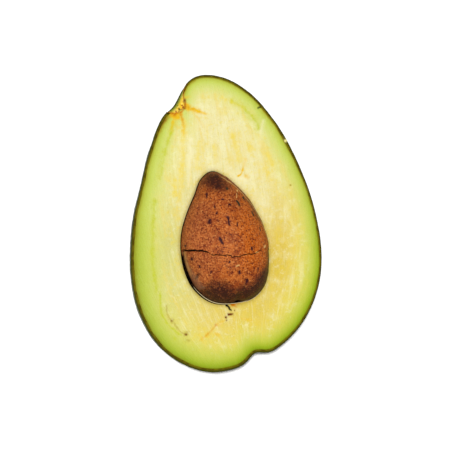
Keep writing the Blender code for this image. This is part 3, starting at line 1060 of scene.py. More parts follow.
STROKES = (
    # threads from the stem
    Stroke(Mark.YELLOW, 1.00, 1.7, ((-15.4, 43.2), (-13.6, 42.8), (-11.4, 42.1), (-7.4, 40.8)), 0.45, 0.5),
    Stroke(Mark.ORANGE, 0.46, 0.7, ((-15.4, 43.2), (-13.6, 42.9), (-11.4, 42.2)), 0.5, 0.3),
    Stroke(Mark.YELLOW, 0.50, 0.4, ((-13.0, 42.0), (-10.2, 38.6), (-6.8, 34.0)), 0.9, 0.1),
    Stroke(Mark.YELLOW, 0.45, 0.7, ((-15.3, 46.9), (-13.2, 47.3)), 0.8, 0.2),
    Stroke(Mark.ORANGE, 0.40, 0.7, ((-17.4, 41.2), (-16.4, 38.4), (-16.0, 36.4)), 0.9, 0.2),
    Stroke(Mark.YELLOW, 0.70, 0.9, ((-17.4, 40.6), (-16.4, 38.0), (-16.0, 33.0)), 0.9, 0.4),
    Stroke(Mark.LEMON, 1.10, 0.55, ((-16.0, 37.0), (-16.3, 26.0), (-16.9, 12.0)), 0.9, 0.9),
    Stroke(Mark.LEMON, 0.80, 0.6, ((-17.4, 20.0), (-17.8, 8.0)), 0.9, 0.8),
    Stroke(Mark.ORANGE, 0.70, 0.7, ((-19.3, 40.4),)),
    Stroke(Mark.YELLOW, 1.30, 1.3, ((-19.6, 39.9), (-18.2, 39.8))),
    Stroke(Mark.YELLOW, 0.80, 1.2, ((-19.4, 39.6), (-19.9, 37.2), (-20.6, 34.5)), 0.9, 0.3),
    Stroke(Mark.GREEN, 0.70, 0.9, ((-19.9, 37.5), (-21.4, 31.5), (-23.1, 25.7), (-25.0, 16.0)), 0.9, 0.4),
    Stroke(Mark.GREEN, 0.90, 0.5, ((-23.5, 27.0), (-26.5, 14.0)), 0.9, 0.4),
    Stroke(Mark.YELLOW, 0.50, 0.3, ((-18.4, 39.5), (-18.6, 34.0), (-19.8, 27.0)), 0.8, 0.3),
    Stroke(
        Mark.ORANGE, 0.36, 0.7, ((-14.9, 51.4), (-16.0, 48.8), (-16.0, 46.9), (-15.4, 45.4), (-15.3, 43.2))
    ),
    Stroke(Mark.ORANGE, 0.32, 0.7, ((-15.3, 43.2), (-16.4, 41.7), (-18.9, 40.6), (-20.6, 40.6))),
    Stroke(Mark.BROWN, 0.36, 0.9, ((-15.5, 46.0), (-15.5, 45.4))),
    Stroke(Mark.BROWN, 0.36, 0.9, ((-15.3, 43.2), (-15.9, 42.5))),
    Stroke(Mark.OLIVE, 0.90, 0.9, ((-22.2, 39.2), (-23.1, 37.7), (-24.8, 34.9), (-26.2, 31.5)), 0.6, 0.4),
    Stroke(Mark.BROWN, 0.55, 0.6, ((-22.5, 38.8), (-23.4, 37.5), (-24.6, 35.3)), 0.6, 0.5),
    Stroke(Mark.OLIVE, 0.60, 0.9, ((-15.3, 50.6), (-13.8, 52.2), (-11.4, 53.6)), 0.6, 0.4),
    # fibres of the upper part
    Stroke(
        Mark.GREEN, 0.80, 0.80, ((2.4, 45.9), (6.4, 43.5), (9.6, 40.6), (12.0, 37.6), (12.6, 35.6)), 0.8, 0.9
    ),
    Stroke(Mark.GREEN, 1.60, 0.35, ((4.4, 44.9), (7.4, 42.7), (10.6, 39.4), (12.2, 36.9))),
    Stroke(Mark.LEMON, 0.80, 0.4, ((-1.4, 47.0), (3.3, 45.2), (6.4, 43.0))),
    Stroke(Mark.PALE, 0.65, 0.5, ((14.4, 38.6), (13.2, 34.1), (13.0, 29.0)), 0.9, 0.4),
    Stroke(Mark.LEMON, 1.00, 0.6, ((2.6, 33.0), (4.0, 28.6), (5.2, 23.6)), 1.1, 0.8),
    Stroke(Mark.LEMON, 1.30, 0.55, ((8.6, 29.6), (9.2, 28.0))),
    Stroke(Mark.LEMON, 0.95, 0.5, ((15.6, 26.0), (16.6, 23.8), (17.8, 21.6))),
    Stroke(Mark.LEMON, 1.05, 0.45, ((14.6, 20.8), (16.2, 18.6))),
    Stroke(Mark.LEMON, 1.00, 0.6, ((-19.4, 15.6), (-19.3, 10.0))),
    Stroke(Mark.LEMON, 0.80, 0.6, ((-10.4, 30.0), (-10.8, 24.0), (-11.0, 20.0)), 0.9, 0.5),
    Stroke(Mark.LEMON, 0.70, 0.5, ((-4.6, 29.0), (-4.2, 22.0)), 0.9, 0.5),
    Stroke(Mark.PALE, 0.80, 0.5, ((-13.4, 31.0), (-13.8, 22.0), (-14.2, 14.0)), 0.9, 0.7),
    Stroke(Mark.YELLOW, 0.36, 1.0, ((6.5, 21.0), (5.9, 18.6), (4.6, 17.5))),
    Stroke(Mark.YELLOW, 0.60, 0.35, ((7.4, 24.0), (6.8, 21.6))),
    Stroke(Mark.PALE, 1.00, 0.4, ((5.0, 16.4), (7.4, 16.2))),
    Stroke(Mark.YELLOW, 0.60, 0.5, ((7.4, 17.6), (8.2, 16.9))),
    Stroke(Mark.OLIVE, 0.30, 0.7, ((24.6, 14.3),)),
    # the nick at the upper right, and the brown along the peel below it
    Stroke(Mark.BLACK, 0.30, 1.1, ((12.5, 43.5), (13.9, 43.9), (15.6, 43.0)), 1.0, 1.0, -0.35),
    Stroke(Mark.OLIVE, 0.50, 1.0, ((14.2, 43.2), (17.1, 39.9), (19.7, 36.4), (22.2, 32.2)), 1.0, 0.7),
    # below the seed
    Stroke(Mark.BLACK, 0.30, 1.6, ((-0.2, -30.9), (0.7, -31.7), (0.9, -32.3), (1.7, -32.9)), 0.9, 0.9, -0.7),
    Stroke(Mark.BLACK, 0.45, 1.3, ((3.4, -29.6), (4.2, -29.2)), 1.0, 1.0, -0.6),
    Stroke(Mark.ORANGE, 0.80, 1.1, ((2.0, -30.6), (3.2, -30.4), (4.4, -30.0))),
    Stroke(Mark.BROWN, 0.30, 1.2, ((2.8, -32.9),), 1.0, 1.0, -0.3),
    Stroke(Mark.BROWN, 0.40, 1.2, ((0.7, -34.5), (2.2, -34.2)), 1.0, 1.0, -0.3),
    Stroke(Mark.BROWN, 0.40, 1.2, ((-0.5, -35.5),), 1.0, 1.0, -0.3),
    Stroke(Mark.BROWN, 0.34, 1.1, ((-0.3, -36.6),), 1.0, 1.0, -0.25),
    Stroke(Mark.ORANGE, 0.40, 1.0, ((-4.3, -38.4),), 1.0, 1.0, -0.2),
    Stroke(Mark.YELLOW, 0.60, 0.5, ((-1.1, -36.6), (-4.3, -38.6), (-6.8, -41.1), (-9.6, -43.7))),
    Stroke(Mark.ORANGE, 0.26, 0.4, ((-4.3, -38.6), (-6.8, -41.1), (-9.1, -43.1)), 1.0, 0.6),
    Stroke(Mark.YELLOW, 0.60, 0.5, ((-4.2, -41.6), (-3.4, -42.4))),
    Stroke(Mark.YELLOW, 0.40, 0.4, ((5.4, -36.0), (9.0, -36.6))),
    # bundles of threads at the lower left
    Stroke(Mark.BROWN, 0.36, 0.7, ((-20.9, -36.8),), 1.0, 1.0, -0.15),
    Stroke(Mark.OLIVE, 0.80, 0.35, ((-20.9, -36.6),)),
    Stroke(Mark.BROWN, 0.50, 1.4, ((-15.4, -41.9),), 1.0, 1.0, -0.15),
    Stroke(Mark.OLIVE, 1.00, 0.45, ((-15.4, -41.9),)),
    Stroke(Mark.OLIVE, 0.36, 0.45, ((-22.8, -31.0), (-22.4, -34.4), (-20.6, -37.6)), 1.0, 0.9),
    Stroke(Mark.OLIVE, 0.32, 0.4, ((-19.9, -37.8), (-17.8, -40.6), (-15.4, -42.0))),
    Stroke(Mark.GREEN, 0.45, 0.8, ((-25.2, -26.0), (-24.6, -33.5), (-22.0, -38.4), (-17.5, -42.2))),
    Stroke(Mark.GREEN, 0.90, 0.8, ((-19.9, -43.1),)),
    Stroke(Mark.OLIVE, 0.45, 0.45, ((-15.3, -43.9), (-14.3, -44.1))),
    Stroke(Mark.GREEN, 0.80, 0.6, ((-27.0, 8.0), (-27.8, -4.0), (-27.8, -16.0), (-26.4, -26.0))),
    # at the blossom end
    Stroke(Mark.OLIVE, 0.70, 1.0, ((10.6, -48.7), (8.6, -49.9), (7.2, -51.8), (5.4, -53.4)), 0.8, 0.5),
    Stroke(Mark.BROWN, 0.55, 1.1, ((9.3, -49.0),)),
)


@dataclass(frozen=True)
class Blush:
    """A broad soft patch of another colour on the cut face."""

    tint: Tint
    strength: float
    spot: tuple[float, float]
    size: tuple[float, float]  # half widths along X and Y

    def over(self, x: Array, y: Array) -> Array:
        """How strongly the patch shows at places on the cut face."""
        away = np.hypot((x - self.spot[0]) / self.size[0], (y - self.spot[1]) / self.size[1])
        return self.strength * hill(away, 1.0)


BLUSHES = (
    Blush(Tint.GOLD, 0.75, (19.5, -14.0), (5.0, 11.0)),
    Blush(Tint.GOLD, 0.40, (22.0, 2.0), (6.0, 12.0)),
    Blush(Tint.GOLD, 0.35, (11.0, -35.0), (9.0, 6.0)),
    Blush(Tint.GOLD, 0.20, (-6.0, -38.0), (12.0, 6.0)),
    Blush(Tint.MILKY, 0.70, (-21.0, -8.0), (4.5, 16.0)),
    Blush(Tint.MILKY, 0.35, (-15.0, 12.0), (4.0, 8.0)),
    Blush(Tint.MILKY, 0.45, (-17.0, -27.0), (8.0, 9.0)),
)


@dataclass
class Flesh:
    """The edible part: a flat cut face with its marks, and the hollow that the seed sits in."""

    peel: Peel
    room: float = 0.28  # between the seed and the hollow's wall
    spread: float = 0.62  # more room at the lower left
    spread_heading: float = 230.0
    spread_width: float = 36.0
    lip: float = 0.6  # width of the rounded lip of the hollow
    face_rows: int = 86
    wall_rows: int = 10
    back_rows: int = 9
    lush: Knots = (  # heading, how green and golden the flesh is
        (0, 0.75), (40, 0.30), (75, 0.02), (110, 0.0), (150, 0.05), (185, 0.36), (215, 0.46),
        (250, 0.80), (285, 1.0), (330, 0.95),
    )
    green: Knots = (  # heading, how far in the green reaches against the top of the fruit
        (0, 1.0), (75, 1.0), (110, 1.05), (145, 1.4), (170, 1.9), (200, 2.2), (230, 1.7),
        (262, 1.35), (290, 1.05), (330, 1.0),
    )

    def hollow(self, heading: Array, dip: Array) -> Array:
        """The hollow's wall."""
        loose = self.spread * hill(turn(heading, self.spread_heading), self.spread_width)
        return SEED.offset(heading, dip, self.room + loose + 0.0 * dip)

    def rim_radius(self, heading: Array) -> Array:
        """The hollow's radius at the cut."""
        return read_round(self.hollow(heading, np.zeros_like(heading)), heading)

    def relief(self, x: Array, y: Array, inner: Array, uneven: Array) -> Array:
        """The cut face's own height.

        Args:
            x: Places in the frame.
            y: Places in the frame.
            inner: Their distance from the hollow.
            uneven: Hills from -1 to 1 that make the marks uneven.

        Returns:
            The height above the plane of the cut, in millimetres.
        """
        knife = 0.09 * Field(21, (34.0, 12.0, 9.0)).hills(flat(x, y), 2)
        pulp = 0.035 * Field(22, (1.3, 2.6, 9.0)).hills(flat(x, y), 2)
        height = knife + pulp - 0.45 * hill(inner, self.lip)
        for stroke in STROKES:
            if stroke.relief:
                height = height + stroke.relief * np.clip(stroke.over(x, y, uneven), 0.0, 1.0)
        return height

    def build(self, layout: Layout) -> bpy.types.Object:
        """Make the flesh.

        Args:
            layout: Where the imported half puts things.

        Returns:
            The flesh's object.
        """
        heading = layout.columns
        start = self.rim_radius(heading)
        skin = self.peel.edge(heading)
        end = np.minimum(skin - 0.02, SEAT.reach(heading) - 0.03)
        share = np.linspace(0.0, 1.0, self.face_rows)[:, None]
        share = share + 0.06 * np.sin(2.0 * np.pi * share) / np.pi
        radius = start + (end - start) * share
        face = on_circle(heading, radius)
        x, y = layout.over(face)
        uneven = Field(23, 1.1).hills(flat(x, y), 2)
        face[..., 2] = self.relief(x, y, radius - start, uneven)

        step = np.linspace(0.0, 1.0, self.wall_rows)[:, None]
        wall = self.hollow(heading, 86.0 * (0.02 + 0.98 * (1.0 - step)) ** 1.6)
        wall[..., 2] += face[0, :, 2] * step**2
        back_dips = 2.0 + 85.0 * np.linspace(0.0, 1.0, self.back_rows)[:, None]
        under_peel = self.peel.inside + 0.1
        back = FRUIT.offset(heading, back_dips, -under_peel + 0.0 * back_dips)
        outer = np.hypot(back[..., 0], back[..., 1])
        limit = np.minimum(outer, end * np.cos(np.radians(back_dips)) ** 0.5)
        back[..., :2] *= (limit / outer)[..., None]
        back[..., 2] = np.maximum(back[..., 2], layout.lowest + under_peel)
        rows = np.concatenate([wall, face, back])

        square = np.clip(skin / np.hypot(skin, np.gradient(skin, np.radians(heading))), 0.5, 1.0)
        first, last = self.wall_rows, self.wall_rows + self.face_rows
        labels = ["rim", "lush", *(tint.value for tint in Tint), *(mark.value for mark in Mark)]
        values = {label: np.zeros(rows.shape[:2]) for label in labels}
        values["rim"][first:last] = (skin - radius) * square / round_curve(self.green, heading)
        values["rim"][:first] = values["rim"][first]
        values["lush"] += round_curve(self.lush, heading)
        across, along = Grain().over(*layout.over(rows))
        values |= {"across": across, "along": along}
        for blush in BLUSHES:
            values[blush.tint.value][first:last] += blush.over(x, y)
        # painted shade: a soft olive darkening of the flesh within about a millimetre of the hollow's lip
        values[Mark.OLIVE.value][first:last] = 0.30 * hill(radius - start, 1.2)
        # painted shade: the hollow's wall turns brown and then black further down, for the shaded gap round
        # the seed
        values[Mark.BROWN.value][:first] = ease(-wall[..., 2], 0.2, 0.8)
        values[Mark.BLACK.value][:first] = ease(-wall[..., 2], 0.5, 1.4)
        for stroke in STROKES:
            layer = values[stroke.mark.value][first:last]
            np.maximum(layer, stroke.over(x, y, uneven), out=layer)
        bottom = np.array([0.0, 0.0, -SEED.depth - self.room])
        tip = np.array([0.0, 0.0, layout.lowest + under_peel])
        piece = hoops("cut_flesh", layout.put(rows), layout.put(bottom), layout.put(tip), values)
        piece.data.materials.append(FleshFinish().material())
        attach(piece, BODY)
        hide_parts("flesh")
        return piece


@dataclass(frozen=True)
class Fleck:
    """One small mark on the seed, with its place in the frame, its length and the way that it runs."""

    mark: SeedMark
    x: float
    y: float
    long: float = 0.0
    heading: float = 90.0
    width: float = 0.36

    def over(self, x: Array, y: Array, uneven: Array) -> Array:
        """Read the mark.

        Args:
            x: Places on the seed.
            y: Places on the seed.
            uneven: Hills from -1 to 1 that make its edge uneven.

        Returns:
            How strongly the mark shows, 0 to about 1.4.
        """
        way = math.radians(self.heading)
        half = 0.5 * max(self.long, 0.01) * np.array([math.cos(way), math.sin(way)])
        path = np.array([[self.x, self.y] - half, [self.x, self.y] + half])
        return 1.4 * hill(along_path(x, y, path)[0], self.width * (1.0 + 0.35 * uneven))


FLECK_TABLE: dict[SeedMark, tuple[tuple[float, float, float, float, float], ...]] = {
    SeedMark.FLECK: (
        (-4.7, -8.2, 2.2, 118.0, 0.44), (-1.8, -1.0, 3.0, 98.0, 0.40), (-8.8, 9.1, 1.4, 85.0, 0.32),
        (-3.5, 7.2, 0.5, 0.0, 0.36), (-0.9, 5.1, 0.6, 150.0, 0.28), (-8.4, -0.9, 1.2, 80.0, 0.52),
        (6.9, -11.2, 0.7, 100.0, 0.46), (2.4, -19.8, 0.8, 100.0, 0.38), (5.5, -22.8, 0.8, 90.0, 0.48),
        (-12.0, -17.5, 0.3, 90.0, 0.30), (-14.7, -14.5, 0.6, 110.0, 0.34), (-16.3, -9.4, 0.3, 90.0, 0.34),
        (9.6, -18.6, 1.3, 90.0, 0.26), (-6.4, 4.4, 0.8, 100.0, 0.26), (-5.9, 2.0, 0.5, 60.0, 0.28),
        (1.4, -2.4, 0.6, 100.0, 0.26), (-1.5, -16.2, 0.3, 60.0, 0.30), (-8.0, -19.8, 0.4, 60.0, 0.34),
    ),
    SeedMark.OLIVE: (
        (-1.3, 11.6, 0.3, 90.0, 0.46), (5.2, 8.2, 0.9, 120.0, 0.36), (2.5, 6.0, 1.5, 122.0, 0.48),
        (8.4, 2.4, 1.5, 112.0, 0.28), (10.8, -3.4, 1.2, 105.0, 0.22),
    ),
    SeedMark.DARK: (
        (-12.4, -20.8, 1.2, 70.0, 0.50),
    ),
    SeedMark.PALE: (
        (2.9, 11.0, 0.5, 60.0, 0.26), (2.2, 9.0, 1.8, 80.0, 0.12), (9.1, -12.3, 1.2, 15.0, 0.20),
        (12.6, -9.8, 0.8, 45.0, 0.28), (1.6, -17.4, 1.2, 20.0, 0.16),
    ),
}
FLECKS = tuple(Fleck(mark, *numbers) for mark, table in FLECK_TABLE.items() for numbers in table)


@dataclass
class Seed:
    """The seed: a rough egg with a knife cut across it, whose lower part has sunk in a little."""

    around: int = 300
    upper_rows: int = 150
    lower_rows: int = 96
    cut_path: Knots = (  # X, Y in the frame, from its open end at the left
        (-18.5, -10.6), (-17.0, -10.8), (-14.1, -11.5), (-11.6, -11.8), (-9.3, -12.2),
        (-8.1, -13.3), (-4.9, -13.6), (-1.3, -13.8), (-0.6, -14.4), (2.0, -14.2), (3.4, -13.4),
        (6.5, -13.0), (8.2, -12.9), (11.0, -11.2), (17.0, -9.8),
    )
    cut_wide: float = 0.38  # half width at the open end
    cut_deep: float = 2.4
    cut_middle: float = -12.4  # Y in the frame of the cut's rows on the underside, where there is no cut
    sunk: float = 0.5  # how far the part below the cut is set in at the left
    cap_spot: tuple[float, float] = (-4.6, 14.0)  # X, Y in the frame of the dark cap at the top
    cap_turn: float = 0.42  # radians that the cap is turned by
    notch_spot: tuple[float, float] = (4.0, -29.2)  # X, Y in the frame of the notch in the base
    notch_deep: float = 0.9
    base_line: Knots = (  # X, Y where the dark base begins
        (-18.0, -20.0), (-14.1, -21.6), (-11.5, -24.2), (-7.5, -22.8), (-2.2, -23.0), (1.4, -25.0),
        (3.6, -23.8), (8.0, -22.4), (9.9, -20.6), (11.9, -17.6), (15.0, -14.5),
    )

    @staticmethod
    def sides() -> tuple[Array, Array, Array, Array]:
        """The outline's left and right sides.

        Returns:
            Y from the base up and X of the left side, then the same for the right side.
        """
        edge = SEED.skin(np.arange(0.0, 360.0, 0.25), 0.0)[:, :2]
        top, bottom = edge[:, 1].argmax(), edge[:, 1].argmin()
        left = edge[top : bottom + 1][::-1]
        right = np.vstack([edge[bottom:], edge[: top + 1]])
        return left[:, 1], left[:, 0], right[:, 1], right[:, 0]

    @staticmethod
    def place(y: Array, across: Array, above: Array, sides: tuple[Array, ...]) -> Array:
        """Points of the smooth seed.

        Args:
            y: How far along it they are.
            across: Where between its sides, from -1 at the left to 1 at the right.
            above: 1 above the cut and -1 below.
            sides: The outline's sides.

        Returns:
            The points about the pole.
        """
        left = np.interp(y, sides[0], sides[1])
        right = np.interp(y, sides[2], sides[3])
        x = (left + right) / 2.0 + (right - left) / 2.0 * across
        return np.stack([x, y, above * SEED.height(x, y)], axis=-1)

    def marks(self, x: Array, y: Array, height: Array, edge: Array) -> dict[str, Array]:
        """The seed's marks, painted shade among them.

        Args:
            x: Places in the frame.
            y: Places in the frame.
            height: How far above the cut they stand.
            edge: Their distance from the seed's left or right side.

        Returns:
            The strength of each kind of mark, by its name, and of the two broad changes of colour.
        """
        uneven = Field(34, 0.8).hills(flat(x, y), 2)
        broad = Field(35, 2.4).hills(flat(x, y), 3)
        values = {mark.value: np.zeros(x.shape) for mark in SeedMark}
        for fleck in FLECKS:
            layer = values[fleck.mark.value]
            np.maximum(layer, fleck.over(x, y, uneven) * (height > -0.5), out=layer)
        cap_x, cap_y = x - self.cap_spot[0], y - self.cap_spot[1]
        cosine, sine = math.cos(self.cap_turn), math.sin(self.cap_turn)
        turned = cap_x * cosine - cap_y * sine
        lifted = cap_x * sine + cap_y * cosine
        cap = hill(np.hypot(turned / 6.4, lifted / 4.4), 1.0)
        tip = 0.40 * hill(np.hypot((x + 7.0) / 5.0, (y - 15.6) / 5.0), 1.0)
        line = np.array(self.base_line)
        past = np.interp(x, line[:, 0], line[:, 1]) - y + 0.8 * broad
        # darker towards the base: partly the seed's own colour, partly painted shade on its lower flank
        base = 0.50 * ease(past, -1.4, 1.0) + 0.5 * ease(past, 0.0, 3.5)
        dark = np.clip(0.76 * ease(cap + 0.10 * broad, 0.15, 1.1) + tip + base, 0.0, 1.0)
        values[SeedMark.DARK.value] = np.maximum(0.6 * values[SeedMark.DARK.value], dark)
        right, left = ease(x, 2.0, 8.0), ease(x, -2.0, -8.0)
        # painted shade: greenish brown along the seed's lower right side, by its edge
        values[SeedMark.RIM.value] = 0.9 * right * ease(y, -7.0, -12.0) * hill(edge, 1.9)
        wide = np.interp(y, [-25.8, -25.2, -21.0, -17.0, -11.5], [0.0, 2.2, 1.3, 0.2, 0.0])
        film = ease(wide - edge + 0.3 * broad, -0.6, 0.5) * left
        values[SeedMark.FILM.value] = 0.36 * film * ease(y, -26.2, -25.0) * ease(y, -10.8, -11.6)
        far_side = ease(x, -4.0, -1.0) * ease(y, -9.0, -5.0)
        coat_line = hill(height - 5.7 - 0.3 * broad, 0.40) * far_side
        # painted shade: a dark line low on the seed's far side, about 4.6 mm above the cut
        shade = hill(height - 4.6 - 0.3 * broad, 0.60) * far_side
        coat = right * ease(y, -3.0, 2.0) * ease(edge, 3.6, 2.6) * ease(height, 3.2, 4.6)
        lower_lip = left * hill(edge, 0.35) * ease(y, -10.8, -11.6) * ease(y, -22.0, -17.0)
        shares = (
            (SeedMark.DARK, 0.85 * shade),
            (SeedMark.PALE, 0.7 * coat_line),
            (SeedMark.RIM, 0.5 * coat),
            (SeedMark.PALE, 0.45 * lower_lip),
        )
        for mark, share in shares:
            values[mark.value] = np.maximum(values[mark.value], share)
        values["sheen"] = 0.5 * ease(x, -3.0, -12.0) * ease(y, 12.0, 4.0)
        values["amber"] = 0.85 * ease(x, -1.0, 7.0) * ease(y, -21.0, -15.0)
        return values

    def build(self, layout: Layout) -> bpy.types.Object:
        """Make the seed.

        Args:
            layout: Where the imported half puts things.

        Returns:
            The seed's object.
        """
        sides = self.sides()
        base, tip = sides[0][0], sides[0][-1]
        round_it = 2.0 * np.pi * (np.arange(self.around) + 0.5) / self.around
        across, above = np.cos(round_it), np.sign(np.sin(round_it))
        upper = ease(np.sin(round_it), -0.35, 0.0)
        middle_y = self.cut_middle - layout.pole[1]
        guess = self.place(np.full(self.around, middle_y), across, above, sides)[:, 0]
        route = np.array(self.cut_path) - layout.pole[:2]
        jag = 0.22 * Field(31, 1.0).hills(flat(guess, 0.0 * guess), 3)
        cut_y = middle_y + (np.interp(guess, route[:, 0], route[:, 1]) + jag - middle_y) * upper
        narrow = np.interp(guess, [-18.0, -11.0, -8.6, -7.4, 6.0, 12.0], [1.0, 0.9, 0.6, 0.5, 0.48, 0.34])
        open_share = narrow * ease(guess, 12.2, 9.8) * upper
        wide = self.cut_wide * open_share

        lips = np.array([2.6, 1.7, 1.25, 1.0, 0.8, 0.0, -0.8, -1.0, -1.25, -1.7, -2.6])
        sink = np.array([0.0, 0.0, 0.0, 0.10, 0.85, 1.0, 0.85, 0.10, 0.0, 0.0, 0.0])
        rise = (1.0 - np.cos(np.linspace(0.03, 1.0, self.upper_rows) * np.pi / 2.0))[:, None]
        fall = np.sin(np.linspace(0.0, 0.985, self.lower_rows) * np.pi / 2.0)[:, None]
        lip_y = cut_y + np.maximum(wide, 0.03) * lips[:, None]
        upper_y = tip + (lip_y[0] - tip) * rise[:-1] / rise[-1]
        lower_y = lip_y[-1] + (base - lip_y[-1]) * fall[1:]
        rows_y = np.concatenate([upper_y, lip_y, lower_y])
        rows = self.place(rows_y, across, above, sides)
        first, last = len(upper_y), len(upper_y) + len(lips)

        along = np.roll(rows, -1, axis=1) - np.roll(rows, 1, axis=1)
        out = np.cross(np.gradient(rows, axis=0), along)
        out /= np.maximum(np.linalg.norm(out, axis=-1, keepdims=True), 1e-9)
        out *= np.sign(np.einsum("ijk,ijk->ij", out, rows))[..., None]

        x, y = layout.over(rows)
        left_x = np.interp(rows[..., 1], sides[0], sides[1])
        right_x = np.interp(rows[..., 1], sides[2], sides[3])
        edge = np.minimum(rows[..., 0] - left_x, right_x - rows[..., 0])
        values = self.marks(x, y, rows[..., 2], edge)
        below = np.clip(cut_y - rows_y, 0.0, None)
        past = ease(cut_y - rows_y, -0.05, 0.15)
        left = ease(rows[..., 0], 1.0, -15.0)
        sunk = self.sunk * left * past * hill(below - 6.0, 12.0) + 0.12 * past * upper * hill(below, 5.0)
        rough = 0.13 * Field(32, 4.2).hills(rows, 2) + 0.05 * Field(33, 0.8).hills(rows, 2)
        away = np.hypot(x - self.notch_spot[0], (y - self.notch_spot[1]) * 0.6)
        notch = self.notch_deep * hill(away, 1.5)
        move = rough - sunk - notch
        for mark, dent in ((SeedMark.FLECK, 0.12), (SeedMark.OLIVE, 0.08), (SeedMark.PALE, -0.06)):
            move = move - dent * values[mark.value]
        deep = sink[:, None] * open_share
        move[first:last] -= self.cut_deep * deep
        # painted shade in the crack, darkest where the groove is deepest
        values[SeedMark.CRACK_SHADE.value][first:last] = np.clip(deep * 2.6, 0.0, 1.0)
        points = rows + out * move[..., None]

        ends = self.place(np.array([tip, base]), np.zeros(2), np.zeros(2), sides)
        piece = hoops("dry_seed", layout.put(points), layout.put(ends[0]), layout.put(ends[1]), values)
        piece.data.materials.append(SeedFinish().material())
        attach(piece, BODY)
        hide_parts("seed")
        return piece


@dataclass
class StemButton:
    """The cut half of the stub of the stalk, in its seat at the fruit's edge."""

    slices: int = 84
    top_points: int = 46
    under_points: int = 16
    side_points: int = 16
    recess: float = 0.25  # from the skin's surface
    # X, Y in the frame and half width of each spot
    dots: tuple[tuple[float, float, float], ...] = ((-17.5, 42.5, 0.40), (-18.1, 43.7, 0.16))
    rust: tuple[tuple[float, float, float], ...] = (
        (-15.9, 45.4, 0.34), (-16.5, 43.9, 0.26), (-16.1, 43.2, 0.34), (-18.8, 41.6, 0.30),
        (-17.4, 41.5, 0.24),
    )

    def build(self, layout: Layout) -> bpy.types.Object:
        """Make the stem button.

        Args:
            layout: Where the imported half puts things.

        Returns:
            The button's object.
        """
        heading = np.linspace(SEAT.first + 0.05, SEAT.last - 0.05, self.slices)
        inner = SEAT.reach(heading)
        skin = FRUIT.skin(heading, np.zeros_like(heading))
        outer = np.maximum(np.hypot(skin[:, 0], skin[:, 1]) - self.recess, inner + 0.12)
        tall = np.maximum(SEAT.drop(heading) - 0.1, 0.15)[:, None]
        across = np.linspace(0.0, 1.0, self.top_points)
        quarter = np.linspace(0.0, np.pi / 2.0, self.under_points + 1)[1:]
        rise = np.linspace(1.0, 0.0, self.side_points + 1)[1:-1]
        width = (outer - inner)[:, None]
        top = outer[:, None] - width * across
        under = inner[:, None] + width * (1.0 - np.cos(quarter))
        side = outer[:, None] + 0.0 * rise
        radius = np.concatenate([top, under, side], axis=1)
        fall = np.concatenate([0.0 * top, tall * np.sin(quarter), tall * rise], axis=1)
        rows = on_circle(heading[:, None], radius)
        rows[..., 2] = -fall
        x, y = layout.over(rows)
        lumps = 0.22 * Field(51, (0.9, 2.4, 2.0)).hills(rows, 2) + 0.10 * Field(52, 0.6).hills(rows, 2)
        on_top = np.zeros(rows.shape[:2])
        on_top[:, : self.top_points] = np.sin(np.pi * across) ** 0.5
        spots = {
            label: np.clip(
                sum(hill(np.hypot(x - east, y - north), size) for east, north, size in group), 0, 1
            )
            for label, group in (("dot", self.dots), ("rust", self.rust))
        }
        rows[..., 2] += (lumps - 0.05 - 0.5 * spots["dot"] - 0.2 * spots["rust"]) * on_top
        edge = np.zeros(rows.shape[:2])
        edge[:, : self.top_points] = hill((1.0 - across) * width, 0.36)
        outer_green = np.ones(rows.shape[:2])
        outer_green[:, : self.top_points] = hill(across * width, 1.0)
        values = {
            "edge": edge,
            "outer": outer_green,
            "rust": 1.4 * spots["rust"] * (on_top > 0),
            "dot": spots["dot"] * (on_top > 0),
        }
        ends = rows[0].mean(axis=0), rows[-1].mean(axis=0)
        piece = hoops("stem_stub", layout.put(rows), layout.put(ends[0]), layout.put(ends[1]), values)
        piece.data.materials.append(StemFinish().material())
        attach(piece, BODY)
        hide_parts("stem_button")
        return piece


@dataclass
class SeedCoat:
    """Strips of the papery coat that stand a little off the seed where it meets the flesh."""

    name: str
    first: float  # headings
    last: float
    bottom: float  # heights about the cut
    top: float
    stand: float  # off the seed
    curl: float  # further off at the top edge
    thick: float
    seed: int
    columns: int = 160
    rows: int = 9

    def build(self, layout: Layout) -> bpy.types.Object:
        """Make the strip.

        Args:
            layout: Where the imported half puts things.

        Returns:
            The strip's object.
        """
        heading = np.linspace(self.first, self.last, self.columns)
        taper = np.sqrt(np.clip(np.sin(np.pi * np.linspace(0.0, 1.0, self.columns)), 0.0, 1.0))
        ragged = Field(self.seed, 1.6).hills(on_circle(heading, RING), 3)
        high = self.bottom + (self.top - self.bottom) * taper * (1.0 + 0.12 * ragged)
        rise = np.linspace(0.0, 1.0, self.rows)[:, None]
        level = self.bottom + (high - self.bottom) * rise
        dip = -np.degrees(np.arcsin(np.clip(level / SEED.depth, -0.99, 0.99)))
        off = self.stand + self.curl * rise**3 + 0.05 * ragged
        thick = self.thick * (0.3 + 0.7 * taper)
        inside = SEED.offset(heading + 0.0 * dip, dip, off)
        outside = SEED.offset(heading + 0.0 * dip, dip, off + thick)
        loop = np.concatenate([inside, outside[::-1]])
        points = np.swapaxes(loop, 0, 1)
        edge = np.concatenate([rise, rise[::-1]]) ** 3 * np.ones(self.columns)
        ends = points[0].mean(axis=0), points[-1].mean(axis=0)
        values = {"edge": edge.T.copy()}
        piece = hoops(self.name, layout.put(points), layout.put(ends[0]), layout.put(ends[1]), values)
        piece.data.materials.append(CoatFinish().material())
        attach(piece, BODY)
        return piece


# ---------------------------------------------------------------- the studio


@dataclass(frozen=True)
class Lamp:
    """A square soft light."""

    name: str
    tilt: float  # from straight above
    heading: float
    distance: float  # metres
    size: float  # metres
    power: float  # watts


